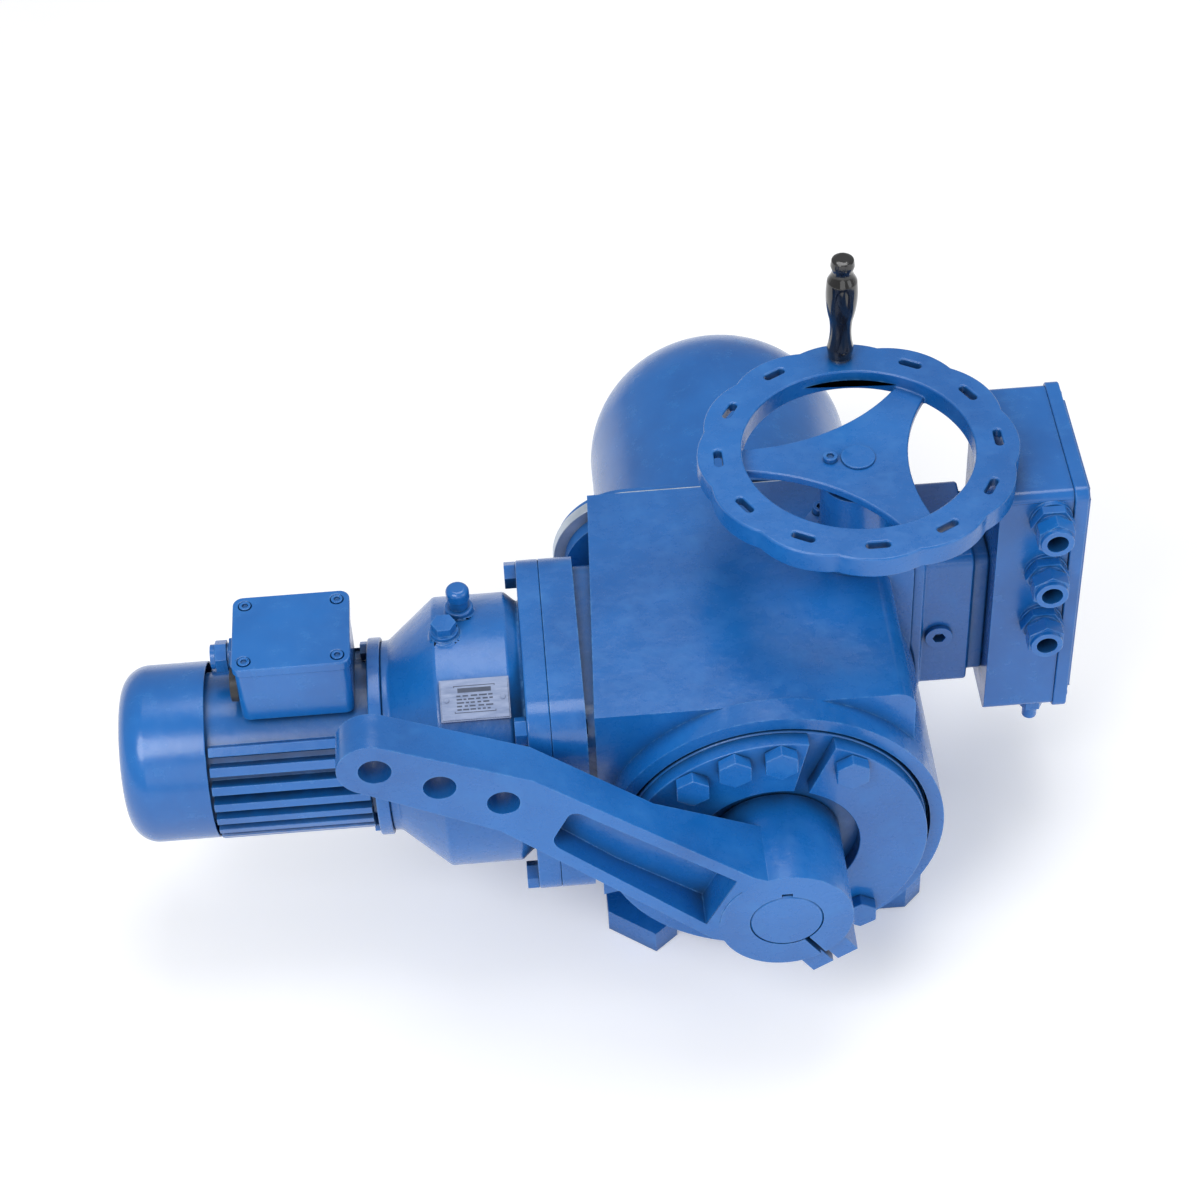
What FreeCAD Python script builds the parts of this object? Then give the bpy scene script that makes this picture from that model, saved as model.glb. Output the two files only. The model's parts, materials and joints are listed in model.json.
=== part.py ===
import FreeCAD, Part
import math
import os

# Part-turn lever actuator: a geared motor drives a worm gearbox whose output shaft carries a lever.
# Millimetres. +Z is up, +X points away from the motor, the lever is on the -Y side.
# The origin is the centre of the foot bolt pattern, on the foot plane, below the output shaft.

V = FreeCAD.Vector
os.makedirs("parts", exist_ok=True)

# ---------------------------------------------------------------- driving dimensions
OUT_Z = 150.0            # height of the output shaft axis, which runs along Y through x = 0
DRIVE_Y = -15.0          # plane of the worm, the motor and the worm wheel
MOTOR_Z = 171.0          # height of the motor axis
WORM_MODULE = 2.5
WHEEL_TEETH = 40
WORM_PITCH_R = 13.0
WHEEL_PITCH_R = WORM_MODULE * WHEEL_TEETH / 2
WORM_Z = OUT_Z + WHEEL_PITCH_R + WORM_PITCH_R
WORM_LEAD = math.pi * WORM_MODULE
WORM_SLACK = 0.85        # backlash cut into each flank pair, likewise below
SPUR_MODULE = 2.0
PINION_TEETH = 12
SPUR_TEETH = 30
SPUR_SLACK = 0.9
FEEDBACK_MODULE = 1.5
FEEDBACK_TEETH = 40
SENSOR_TEETH = 24
FEEDBACK_SLACK = 0.8
FEEDBACK_Y = (160.0, 168.0)   # both feedback gears along Y
SENSOR_Z = OUT_Z + FEEDBACK_MODULE * (FEEDBACK_TEETH + SENSOR_TEETH) / 2
MITER_MODULE = 2.0
MITER_TEETH = 12
MITER_SLACK = 1.5
MITER_R = MITER_MODULE * MITER_TEETH / 2
MITER_BACK = MITER_R     # distance from the crossing of the axes to the large end
MITER_FRONT = 7.5        # and to the small end
PRESSURE = math.radians(20)
DEDENDUM = 1.25          # in modules
RUN = 0.05               # radial clearance of a shaft in its bearing

SHAFT_R = 27.5           # output shaft, front end
WHEEL_SEAT_R = 30.0
REAR_JOURNAL_R = 20.0
LEVER_FRONT = -213.0     # front face of the lever hub
LEVER_BACK = -132.0      # back face of the lever hub
LEVER_ANGLE = 153.7      # direction of the lever arm at rest, anticlockwise from +X seen from the front
HUB_R = 50.0
ARM_END = 328.0          # centre of the arm's round end
ARM_HOLE_RADII = (225.0, 275.0, 325.0)
ARM_HOLE_R = 12.0
ARM_FLAT_FRONT = -163.0
ARM_FLAT_BACK = -130.0
CLAMP_ANGLE = -56.0      # direction of the split in the hub
CLAMP_SCREW_AT = (57.0, -184.0)   # from the axis along the split, and Y
CLAMP_R = 5.0
KEY = 4.0                # half width of both keys

RING_R = 130.0           # round front of the housing
RING_FRONT = -130.0
BODY_FRONT = -110.0
BODY_BACK = 130.0
BODY_LEFT = -131.0       # left wall at the front; it tapers in towards the back
BODY_TAPER = 11.0
INNER_LEFT = -111.0      # left end of the hollow
BODY_RIGHT = 107.0
BODY_TOP = 275.0
WALL = 10.0
COVER_R = 116.5          # inner front cover
COVER_GROOVE = 3.0       # gap around the cover
SEGMENT_FRONT = -142.0   # front face of the stop segments
SEGMENT_R = (64.0, 115.5)
STOP_BOLT_R = 102.0      # pitch radius of the stop segment bolts, M16
STOP_BOLT_SHANK = 8.0
STOP_BOLT_ACROSS = 24.0
LEFT_BOLTS = (128.0, 108.0, 88.5)
RIGHT_BOLTS = (57.0, -50.0)
STOP_LUG = 282.0         # direction of the lug behind the lever hub

FOOT_X = 100.0           # half spacing of the foot holes along X and Y
FOOT_Y = 74.0
FOOT_HOLE_R = 7.0
FOOT_TOP = 22.0

FLANGE_SIDE = 200.0      # square flange between housing and bell
FLANGE_CORNER = 31.0
FLANGE_LEFT = -163.0
FLANGE_SEAT = -137.0     # right face of the side flange
FLANGE_BOLT_AT = 83.0    # half spacing of its bolts, M12
BELL_FLANGE = 18.0
BELL_LEFT = -290.0
BELL_R = 105.0
MOTOR_R = 74.0           # motor flange
DIAPHRAGM = (-256.0, -242.0)   # wall inside the bell
BREATHER_AT = (-226.0, 14.0)
OIL_PLUG_AT = (-238.0, -12.0)
PLATE_X = (-243.0, -193.0)     # nameplate
PLATE_HALF = 15.0
PLATE_TURN = 31.0        # from the top of the bell towards the front

FRAME_START = -427.0
FRAME_END = -300.0
SHELL_R = (55.0, 60.0)
FRAME_R = 70.0           # over the motor's fins
FIN_COUNT = 28
FIN_GAP = 33.0           # half angle without fins under the terminal box
MOTOR_BOLT_R = 68.0
FAN_COVER_R = 69.0
MOTOR_END = -493.0
MOTOR_JOURNAL_R = 8.5
STACK = (-402.0, -334.0)       # rotor and stator along X
STATOR_SLOTS = 24
FAN_BLADES = 8
TERM_X = (-396.0, -310.0)      # motor terminal box
TERM_Y = (-45.0, 30.0)
TERM_Z = (232.0, 280.0, 288.0)
WIRE_AT = (-353.0, DRIVE_Y)    # wire hole from the frame into the terminal box
WIRE_R = 14.0
MOTOR_GLAND_AT = (5.0, 253.0)
MOTOR_PLUG_AT = (-26.0, 253.0)

HOOD_X = 0.0             # rear hood axis
HOOD_Z = 160.0
HOOD_R = 110.0
HOOD_BEND = 95.0         # radius of its domed end
HOOD_END = 383.0
REAR_PLATE = (-150.0, 118.0, 44.0, 267.0)   # round-cornered rear flange: X and Z ranges
REAR_PLATE_CORNER = 62.0
REAR_RING = 10.0         # thickness of the light ring
HOOD_FLANGE = 7.0
HOOD_SCREW_R = 3.0
REAR_INSET = 29.0        # of its screws from the edges
SENSOR_PLATE_Y = (180.0, 184.0)

WHEEL_X = 84.0           # handwheel axis
WHEEL_Y = 57.0
RIM_TOP = 371.0
RIM_BOTTOM = 353.0
RIM_R = 122.0
RIM_IN_R = 88.0
RIM_DISH = 9.0           # thickness left above the hollow under the rim
LOBES = 12
SLOT_PITCH_R = 106.0
WEB_TOP = 360.0
WEB_BOTTOM = 353.0
SPOKE_ANGLES = (-65.0, 55.0, 175.0)
GRIP_ANGLE = 90.0
GRIP_FOOT = 2.5          # height of the handle above the rim
PEDESTAL_BASE_R = 41.0
PEDESTAL_TOP = 340.0
HAND_SHAFT_R = 9.0

PAD = (125.0, 20.0, 130.0, 126.0)   # side pad: its face, its Y range and its lowest Z
NECK = (125.0, 184.0, 30.0, 125.0, 131.0, 270.0)
NECK_WALL = 14.0
NECK_PLUG_AT = (149.0, 189.0)
BOX = (187.0, 243.0, 16.0, 147.0, 110.0, 344.0)
BOX_LID_END = 258.0
GLAND_X = 226.0
GLAND_HEIGHTS = (213.0, 267.0, 322.0)
GLAND_HOLE_R = 8.0
GLAND_BODY_R = 12.5
GLAND_BOSS_R = 16.5
DRAIN_AT = (229.0, 32.0)

# ---------------------------------------------------------------- places that follow from them
DRIVE_AT = (DRIVE_Y, MOTOR_Z)
WORM_AT = (DRIVE_Y, WORM_Z)
OUT_AT = (0.0, OUT_Z)
SENSOR_AT = (0.0, SENSOR_Z)
HOOD_AT = (HOOD_X, HOOD_Z)
HAND_AT = (WHEEL_X, WHEEL_Y)
CROSS_AT = (WHEEL_X, WORM_Z)
FLANGE_BOLTS = [(DRIVE_Y + FLANGE_BOLT_AT * i, MOTOR_Z + FLANGE_BOLT_AT * k)
                for i in (-1, 1) for k in (-1, 1)]
FOOT_HOLES = [(FOOT_X * i, FOOT_Y * k) for i in (-1, 1) for k in (-1, 1)]
HOOD_SCREWS = [(x, z) for x in (REAR_PLATE[0] + REAR_INSET, REAR_PLATE[1] - REAR_INSET)
               for z in (REAR_PLATE[2] + REAR_INSET, REAR_PLATE[3] - REAR_INSET)]


# ---------------------------------------------------------------- shape helpers
def point(axis, along, a, b):
    """A point from its place along one axis and its two other coordinates in X, Y, Z order."""
    return {"x": V(along, a, b), "y": V(a, along, b), "z": V(a, b, along)}[axis]


def direction(axis):
    return point(axis, 1, 0, 0)


def wire(points, place):
    """Closed wire. A pair ends a straight run, four numbers are an arc's middle and end."""
    edges = []
    last = points[0]
    for item in list(points[1:]) + [points[0]]:
        end = item[-2:]
        if len(item) == 4:
            edges.append(Part.Arc(place(*last), place(*item[:2]), place(*end)).toShape())
        elif math.dist(last, end) > 1e-6:
            edges.append(Part.LineSegment(place(*last), place(*end)).toShape())
        last = end
    return Part.Wire(edges)


def prism(axis, points, start, end):
    """An outline across one axis, extruded along it."""
    face = Part.Face(wire(points, lambda a, b: point(axis, start, a, b)))
    return face.extrude(direction(axis) * (end - start))


def turned(axis, at, points):
    """A solid of revolution about one axis, from pairs of (place along the axis, radius)."""
    def place(along, radius):
        if axis == "y":
            return point(axis, along, at[0] + radius, at[1])
        return point(axis, along, at[0], at[1] + radius)
    return Part.Face(wire(points, place)).revolve(point(axis, 0, *at), direction(axis), 360)


def cyl(axis, at, radius, start, end):
    return Part.makeCylinder(radius, end - start, point(axis, start, *at), direction(axis))


def tube(axis, at, outer, inner, start, end):
    return cyl(axis, at, outer, start, end).cut(cyl(axis, at, inner, start, end))


def box(x0, x1, y0, y1, z0, z1):
    return Part.makeBox(x1 - x0, y1 - y0, z1 - z0, V(x0, y0, z0))


def rounded(a0, a1, b0, b1, r):
    """Outline of a rectangle with round corners."""
    k = r * (1 - math.sqrt(0.5))
    return [(a0 + r, b0), (a1 - r, b0), (a1 - k, b0 + k, a1, b0 + r), (a1, b1 - r),
            (a1 - k, b1 - k, a1 - r, b1), (a0 + r, b1), (a0 + k, b1 - k, a0, b1 - r),
            (a0, b0 + r), (a0 + k, b0 + k, a0 + r, b0)]


def hexagon(axis, at, across, start, end, turn=0.0):
    corners = []
    for i in range(6):
        angle = math.radians(60 * i + turn)
        radius = across / math.sqrt(3)
        corners.append((at[0] + radius * math.cos(angle), at[1] + radius * math.sin(angle)))
    return prism(axis, corners, start, end)


def fuse(shapes):
    shapes = list(shapes)
    return shapes[0].multiFuse(shapes[1:]).removeSplitter()


def polar(radius, degrees, at=(0.0, 0.0)):
    angle = math.radians(degrees)
    return (at[0] + radius * math.cos(angle), at[1] + radius * math.sin(angle))


def hex_bolt(axis, at, shank_r, across, head_far, head_near, tip):
    """Bolt along an axis: hexagon head between two places, then its shank to the tip."""
    head = hexagon(axis, at, across, min(head_far, head_near), max(head_far, head_near), 30)
    shank = cyl(axis, at, shank_r, min(head_near, tip), max(head_near, tip))
    return head.fuse(shank).removeSplitter()


def socket_screw(axis, at, shank_r, head_r, head_far, head_near, tip):
    """Round-headed screw with a hexagon socket."""
    head = cyl(axis, at, head_r, min(head_far, head_near), max(head_far, head_near))
    inward = math.copysign(0.6 * abs(head_near - head_far), head_near - head_far)
    span = sorted((head_far, head_far + inward))
    head = head.cut(hexagon(axis, at, head_r, span[0], span[1]))
    shank = cyl(axis, at, shank_r, min(head_near, tip), max(head_near, tip))
    return head.fuse(shank).removeSplitter()


def bearing(axis, at, inner, outer, start, end):
    """Ball bearing: two rings and a row of balls, as separate solids."""
    third = (outer - inner) / 3
    middle = (outer + inner) / 2
    centre = (start + end) / 2
    ball_r = 0.46 * third
    rings = [tube(axis, at, inner + third, inner, start, end),
             tube(axis, at, outer, outer - third, start, end)]
    count = int(2 * math.pi * middle / (third * 2.2))
    for i in range(count):
        rings.append(Part.makeSphere(ball_r, point(axis, centre, *polar(middle, 360 * i / count, at))))
    return rings


def save(name, shapes):
    shapes = shapes if isinstance(shapes, list) else [shapes]
    shape = shapes[0] if len(shapes) == 1 else Part.makeCompound(shapes)
    shape.exportStep("parts/" + name + ".step")


# ---------------------------------------------------------------- gear helpers
def involute(base_r, radius):
    angle = math.acos(min(1.0, base_r / radius))
    return math.tan(angle) - angle


def tooth_ring(teeth, radii, half_angles, phase, height, scale=1.0):
    """Closed gear outline about +Z. radii and half angles are for the root, the pitch and the tip."""
    step = 2 * math.pi / teeth

    def at(radius, angle):
        return V(scale * radius * math.cos(angle), scale * radius * math.sin(angle), height)
    root, pitch, tip = radii
    root_half, pitch_half, tip_half = half_angles
    edges = []
    for i in range(teeth):
        c = phase + i * step
        n = c + step
        edges.append(Part.Arc(at(root, c - root_half), at(pitch, c - pitch_half), at(tip, c - tip_half)))
        edges.append(Part.Arc(at(tip, c - tip_half), at(tip, c), at(tip, c + tip_half)))
        edges.append(Part.Arc(at(tip, c + tip_half), at(pitch, c + pitch_half), at(root, c + root_half)))
        edges.append(Part.Arc(at(root, c + root_half), at(root, c + step / 2), at(root, n - root_half)))
    return Part.Wire([e.toShape() for e in edges])


def tooth_shape(module, teeth, slack):
    """Root, pitch and tip radii of a 20 degree spur gear, and the half angle of a tooth at each."""
    pitch = module * teeth / 2
    tip = pitch + module
    root = pitch - DEDENDUM * module
    base = pitch * math.cos(PRESSURE)
    half = (math.pi * module / 2 - slack) / 2 / pitch
    at_tip = half + involute(base, pitch) - involute(base, tip)
    at_root = half + involute(base, pitch) - involute(base, max(root, base))
    return (root, pitch, tip), (at_root, half, at_tip)


AXES = {"x": (V(0, 1, 0), V(0, 0, 1), V(1, 0, 0)),
        "y": (V(0, 0, 1), V(1, 0, 0), V(0, 1, 0)),
        "z": (V(1, 0, 0), V(0, 1, 0), V(0, 0, 1))}


def put(shape, first, third, origin):
    """Moves a shape made about +Z so that its X and Z axes point along first and third."""
    shape.Placement = FreeCAD.Placement(origin, FreeCAD.Rotation(first, third.cross(first), third, "ZXY"))
    return shape


def spur_gear(axis, at, module, teeth, slack, start, end, phase=0.0, twist=0.0):
    """Spur gear blank with no bore, or a helical one if the teeth twist from face to face."""
    radii, halves = tooth_shape(module, teeth, slack)
    low = tooth_ring(teeth, radii, halves, phase - twist / 2, start)
    if twist:
        high = tooth_ring(teeth, radii, halves, phase + twist / 2, end)
        gear = Part.makeLoft([low, high], True, True)
    else:
        gear = Part.Face(low).extrude(V(0, 0, end - start))
    first, _, third = AXES[axis]
    return put(gear, first, third, point(axis, 0, *at))


def miter_gear(apex, towards, contact, gap):
    """45 degree bevel gear. Its teeth narrow to the apex; a tooth or a gap faces the contact side."""
    cone = MITER_R / math.sin(math.radians(45))
    tip = MITER_BACK * math.tan(math.radians(45) + math.atan(MITER_MODULE / cone))
    root = MITER_BACK * math.tan(math.radians(45) - math.atan(DEDENDUM * MITER_MODULE / cone))
    half = (math.pi * MITER_MODULE / 2 - MITER_SLACK) / 2 / MITER_R
    slope = math.tan(PRESSURE)
    tip_half = (half * MITER_R - MITER_MODULE * slope) / tip
    root_half = (half * MITER_R + MITER_MODULE * slope) / MITER_R
    radii = (root, MITER_R, tip)
    halves = (root_half, half, tip_half)
    phase = math.pi / MITER_TEETH if gap else 0.0
    large = tooth_ring(MITER_TEETH, radii, halves, phase, MITER_BACK)
    small = tooth_ring(MITER_TEETH, radii, halves, phase, MITER_FRONT, MITER_FRONT / MITER_BACK)
    return put(Part.makeLoft([large, small], True, True), contact, towards, apex)


# ---------------------------------------------------------------- housing
def side_flange(inset, start, end):
    """Square plate round the motor axis with round corners."""
    half = FLANGE_SIDE / 2 - inset
    outline = rounded(DRIVE_Y - half, DRIVE_Y + half, MOTOR_Z - half, MOTOR_Z + half, FLANGE_CORNER - inset)
    return prism("x", outline, start, end)


def rear_outline(inset=0.0):
    """Outline of the rear flange, or of a smaller one on it."""
    x0, x1, z0, z1 = REAR_PLATE
    return rounded(x0 + inset, x1 - inset, z0 + inset, z1 - inset, REAR_PLATE_CORNER - inset)


def gear_housing():
    """Hollow casting: round front, square shoulders, feet, side flange and rear flange."""
    low = MOTOR_Z - FLANGE_SIDE / 2
    shoulder = [(BODY_LEFT, low), (BODY_RIGHT, low + 60), (BODY_RIGHT, BODY_TOP - 14),
                (BODY_RIGHT - 4, BODY_TOP - 4, BODY_RIGHT - 14, BODY_TOP),
                (BODY_LEFT, BODY_TOP)]
    inner = [(INNER_LEFT, low + 20), (BODY_RIGHT - WALL, low + 60),
             (BODY_RIGHT - WALL, BODY_TOP - WALL), (INNER_LEFT, BODY_TOP - WALL)]
    plan = [(BODY_LEFT, BODY_FRONT), (BODY_RIGHT, BODY_FRONT), (BODY_RIGHT, BODY_BACK),
            (BODY_LEFT + BODY_TAPER, BODY_BACK)]
    barrel = cyl("y", OUT_AT, RING_R, BODY_FRONT, BODY_BACK)
    barrel = barrel.cut(box(-RING_R, RING_R, BODY_FRONT - 1, BODY_BACK + 1, BODY_TOP, BODY_TOP + 20))
    outer = [barrel, cyl("y", OUT_AT, RING_R, RING_FRONT, BODY_FRONT + 1),
             prism("y", shoulder, BODY_FRONT, BODY_BACK).common(prism("z", plan, 0, BODY_TOP + 1)),
             prism("y", rear_outline(9.0), BODY_BACK - 12, BODY_BACK),
             prism("x", rounded(PAD[1], PAD[2], PAD[3], BODY_TOP, 6), BODY_RIGHT - WALL, PAD[0]),
             cyl("z", HAND_AT, PEDESTAL_BASE_R, BODY_TOP - 12, BODY_TOP)]
    outer += [side_flange(0.0, FLANGE_LEFT, FLANGE_SEAT), side_flange(8.0, FLANGE_SEAT - 1, INNER_LEFT + 5)]
    left_foot = [(-128, -88), (-92, -115), (-74, -100), (-74, 90), (-128, 90)]
    right_foot = [(74, -90), (112, -90), (126, -76), (126, 90), (74, 90)]
    for foot in (left_foot, right_foot):
        outer.append(prism("z", foot, 0, FOOT_TOP))
    for near, far in ((-116, -82), (82, 116)):
        outer.append(box(near, far, -52, 52, 20, 90))
    body = fuse(outer)
    cavity = fuse([cyl("y", OUT_AT, RING_R - WALL - 2, BODY_FRONT + 6, BODY_BACK - 12),
                   prism("y", inner, BODY_FRONT + WALL, BODY_BACK - 12)])
    body = body.cut(cavity)
    body = body.fuse(tube("y", OUT_AT, RING_R - 8, 84, BODY_FRONT + 6, BODY_FRONT + 22))
    # web that carries the worm's far bearing, and the boss of the output shaft's rear bearing
    web = [(-42, BODY_TOP - 5), (12, BODY_TOP - 5), (12, 200), (5, 188), (-35, 188), (-42, 200)]
    body = body.fuse(prism("x", web, 54, 66))
    body = body.fuse(cyl("y", OUT_AT, 52, BODY_BACK - 22, BODY_BACK - 6))
    holes = [cyl("y", OUT_AT, COVER_R + COVER_GROOVE, RING_FRONT - 1, BODY_FRONT + 6),
             cyl("y", OUT_AT, 40, BODY_BACK - 18, BODY_BACK + 1),
             cyl("y", OUT_AT, 26, BODY_BACK - 23, BODY_BACK),
             cyl("x", WORM_AT, 21, 53, 67),
             cyl("x", WORM_AT, 31, FLANGE_LEFT - 1, FLANGE_LEFT + 18),
             cyl("x", WORM_AT, 24, FLANGE_LEFT, INNER_LEFT + 1),
             cyl("z", HAND_AT, 22, BODY_TOP - WALL - 1, BODY_TOP + 1),
             box(BODY_RIGHT - WALL - 1, RING_R + 1, 50, 100, 165, 235),
             cyl("y", CROSS_AT, 17.5, DRIVE_Y - 20, WHEEL_Y + 18)]
    holes += [cyl("x", at, 6, FLANGE_LEFT - 1, FLANGE_SEAT + 1) for at in FLANGE_BOLTS]
    holes += [cyl("z", at, FOOT_HOLE_R, -1, FOOT_TOP + 2) for at in FOOT_HOLES]
    holes += stop_bolt_holes(LEFT_BOLTS + RIGHT_BOLTS, BODY_FRONT, BODY_FRONT + 30)
    holes += [cyl("y", at, HOOD_SCREW_R, BODY_BACK - 8, BODY_BACK + 1) for at in HOOD_SCREWS]
    holes += [cyl("z", at, 4, BODY_TOP - WALL - 1, BODY_TOP + 1) for at in hand_bolt_places()]
    return body.cut(Part.makeCompound(holes)).removeSplitter()


def hand_bolt_places():
    return [polar(PEDESTAL_BASE_R - 7.5, 45 + 90 * i, HAND_AT) for i in range(4)]


def stop_bolt_holes(angles, start, end):
    return [cyl("y", polar(STOP_BOLT_R, a, OUT_AT), STOP_BOLT_SHANK, start, end) for a in angles]


def front_cover():
    """Round cover that carries the output shaft's front bearing and its seal."""
    start, end = RING_FRONT, BODY_FRONT + 6
    seat = COVER_R + COVER_GROOVE
    profile = [(start, 40), (start, COVER_R), (start + 9, COVER_R), (start + 9, seat),
               (end, seat), (end, 62), (end + 6, 62), (end + 6, 50), (start + 10, 50), (start + 10, 40)]
    cover = turned("y", OUT_AT, profile)
    holes = stop_bolt_holes(LEFT_BOLTS + RIGHT_BOLTS, start - 1, end + 1)
    return cover.cut(Part.makeCompound(holes))


def sector(inner, outer, first, last):
    """Outline of a ring sector about the output axis, between two angles seen from the front."""
    middle = (first + last) / 2
    return [polar(inner, first, OUT_AT), polar(outer, first, OUT_AT),
            polar(outer, middle, OUT_AT) + polar(outer, last, OUT_AT), polar(inner, last, OUT_AT),
            polar(inner, middle, OUT_AT) + polar(inner, first, OUT_AT)]


def stop_segment(first, last, angles):
    """Bolted-on stop, which the lug behind the lever hub runs against."""
    plate = prism("y", sector(*SEGMENT_R, first, last), SEGMENT_FRONT, RING_FRONT)
    holes = stop_bolt_holes(angles, SEGMENT_FRONT - 1, RING_FRONT + 1)
    return plate.cut(Part.makeCompound(holes))


def stop_bolts():
    bolts = []
    for angle in LEFT_BOLTS + RIGHT_BOLTS:
        at = polar(STOP_BOLT_R, angle, OUT_AT)
        bolts.append(hex_bolt("y", at, STOP_BOLT_SHANK, STOP_BOLT_ACROSS, SEGMENT_FRONT - 10, SEGMENT_FRONT,
                              BODY_FRONT + 20))
    return bolts


# ---------------------------------------------------------------- bell and motor
def bell_housing():
    """Bell between the housing and the motor, with a wall inside that carries two bearings."""
    neck = BELL_R - 8
    flange = side_flange(0.0, FLANGE_LEFT - BELL_FLANGE, FLANGE_LEFT)
    shell = turned("x", DRIVE_AT, [(BELL_LEFT, 0), (BELL_LEFT, MOTOR_R), (BELL_LEFT + 6, MOTOR_R),
                                   (-247, BELL_R),
                                   (-192, BELL_R), (-183, neck), (FLANGE_LEFT - 10, neck),
                                   (FLANGE_LEFT - 10, 0)])
    front = turned("x", DRIVE_AT, [(DIAPHRAGM[1], 0), (DIAPHRAGM[1], BELL_R - 16),
                                   (FLANGE_LEFT + 1, BELL_R - 16), (FLANGE_LEFT + 1, 0)])
    back = turned("x", DRIVE_AT, [(BELL_LEFT - 1, 0), (BELL_LEFT - 1, MOTOR_R - 13),
                                  (BELL_LEFT + 8, MOTOR_R - 13),
                                  (DIAPHRAGM[0], BELL_R - 31), (DIAPHRAGM[0], 0)])
    solid = fuse([flange, shell, cyl("z", BREATHER_AT, 11, MOTOR_Z + 80, 279),
                  cyl("z", OIL_PLUG_AT, 12, MOTOR_Z + 80, 278)])
    holes = [front, back, cyl("x", DRIVE_AT, 17.5, DIAPHRAGM[0] + 3, DIAPHRAGM[1] + 1),
             cyl("x", DRIVE_AT, 12, DIAPHRAGM[0] - 1, DIAPHRAGM[1]),
             cyl("x", WORM_AT, 17.5, DIAPHRAGM[0] + 3, DIAPHRAGM[1] + 1)]
    holes += [cyl("x", at, 6, FLANGE_LEFT - BELL_FLANGE - 1, FLANGE_LEFT + 1) for at in FLANGE_BOLTS]
    holes += [cyl("x", at, 4, BELL_LEFT - 1, BELL_LEFT + 14) for at in motor_bolt_places()]
    holes += [cyl("z", BREATHER_AT, 5, MOTOR_Z + 70, 286), cyl("z", OIL_PLUG_AT, 6, MOTOR_Z + 70, 286)]
    return solid.cut(Part.makeCompound(holes)).removeSplitter()


def breather():
    """Mushroom-headed vent on the bell."""
    profile = [(258, 0), (258, 5), (279, 5), (279, 7.5), (288, 7.5), (288, 9), (294, 9),
               (297, 7.5, 298, 4), (298, 0)]
    return turned("z", BREATHER_AT, profile)


def oil_plug():
    shank = cyl("z", OIL_PLUG_AT, 6, 262, 278)
    collar = cyl("z", OIL_PLUG_AT, 11, 278, 281)
    return fuse([shank, collar, hexagon("z", OIL_PLUG_AT, 17, 281, 288)])


def flange_bolts():
    bolts = []
    for at in FLANGE_BOLTS:
        bolts.append(hex_bolt("x", at, 6, 19, FLANGE_LEFT - 27, FLANGE_LEFT - BELL_FLANGE, FLANGE_SEAT - 2))
    return bolts


def nameplate():
    """Thin curved plate on a raised pad of the bell's upper front, with a rivet near each end."""
    def on_bell(shape):
        shape.rotate(V(0, DRIVE_Y, MOTOR_Z), V(1, 0, 0), PLATE_TURN)
        return shape
    x0, x1 = PLATE_X
    face_r = BELL_R + 4
    keep = on_bell(box(x0, x1, DRIVE_Y - PLATE_HALF, DRIVE_Y + PLATE_HALF,
                       MOTOR_Z + 80, MOTOR_Z + BELL_R + 12))
    plate = tube("x", DRIVE_AT, face_r + 1.2, face_r, x0, x1).common(keep)
    rivets = [on_bell(cyl("z", (x, DRIVE_Y), 1.8, MOTOR_Z + face_r - 1, MOTOR_Z + face_r + 2))
              for x in (x0 + 4, x1 - 4)]
    pad = on_bell(box(x0 - 1, x1 + 1, DRIVE_Y - PLATE_HALF - 1, DRIVE_Y + PLATE_HALF + 1,
                      MOTOR_Z + 80, MOTOR_Z + BELL_R + 12))
    pad = pad.common(tube("x", DRIVE_AT, face_r, BELL_R, x0 - 1, x1 + 1))
    return fuse([plate, pad] + rivets)


def motor_bolt_places():
    return [polar(MOTOR_BOLT_R, 45 + 90 * i + 8, DRIVE_AT) for i in range(4)]


def motor_flange():
    """Drive-end shield: a round flange with the motor's front bearing seat."""
    profile = [(BELL_LEFT, 12), (BELL_LEFT, MOTOR_R + 3), (FRAME_END, MOTOR_R + 3), (FRAME_END, 55),
               (-306, 55), (-306, 30), (-318, 28), (-318, 20), (-304, 20), (-304, 12)]
    shield = turned("x", DRIVE_AT, profile)
    holes = [cyl("x", at, 4, FRAME_END - 8, BELL_LEFT + 1) for at in motor_bolt_places()]
    return shield.cut(Part.makeCompound(holes))


def motor_bolts():
    bolts = []
    for at in motor_bolt_places():
        bolts.append(hex_bolt("x", at, 4, 13, FRAME_END - 6, FRAME_END, BELL_LEFT + 12))
    return bolts


def motor_frame():
    """Finned motor body, closed at the fan end, with a flat seat for the terminal box."""
    shell = tube("x", DRIVE_AT, SHELL_R[1], SHELL_R[0], FRAME_START, FRAME_END)
    fins = []
    for i in range(FIN_COUNT):
        angle = 360.0 * (i + 0.5) / FIN_COUNT
        if abs(angle - 90) < FIN_GAP:
            continue
        fin = prism("x", [(59, -4.5), (59, 4.5), (FRAME_R, 3.6), (FRAME_R, -3.6)],
                    FRAME_START + 4, FRAME_END - 4)
        fin.rotate(V(0, 0, 0), V(1, 0, 0), angle)
        fin.translate(V(0, DRIVE_Y, MOTOR_Z))
        fins.append(fin)
    end_wall = tube("x", DRIVE_AT, SHELL_R[0] + 1, 17.5, FRAME_START, FRAME_START + 8)
    seat = box(TERM_X[0] + 6, TERM_X[1] - 6, TERM_Y[0] + 8, TERM_Y[1] - 8, 205, TERM_Z[0])
    seat = seat.cut(cyl("x", DRIVE_AT, 58, FRAME_START, FRAME_END))
    frame = fuse([shell, end_wall, seat] + fins)
    wells = [box(x - 8, x + 8, y - 8, y + 8, z - 8, z + 8) for x, (y, z) in
             [(FRAME_END - 3, place) for place in motor_bolt_places()]]
    wells.append(cyl("z", WIRE_AT, WIRE_R, 215, TERM_Z[0] + 1))
    return frame.cut(Part.makeCompound(wells))


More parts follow.
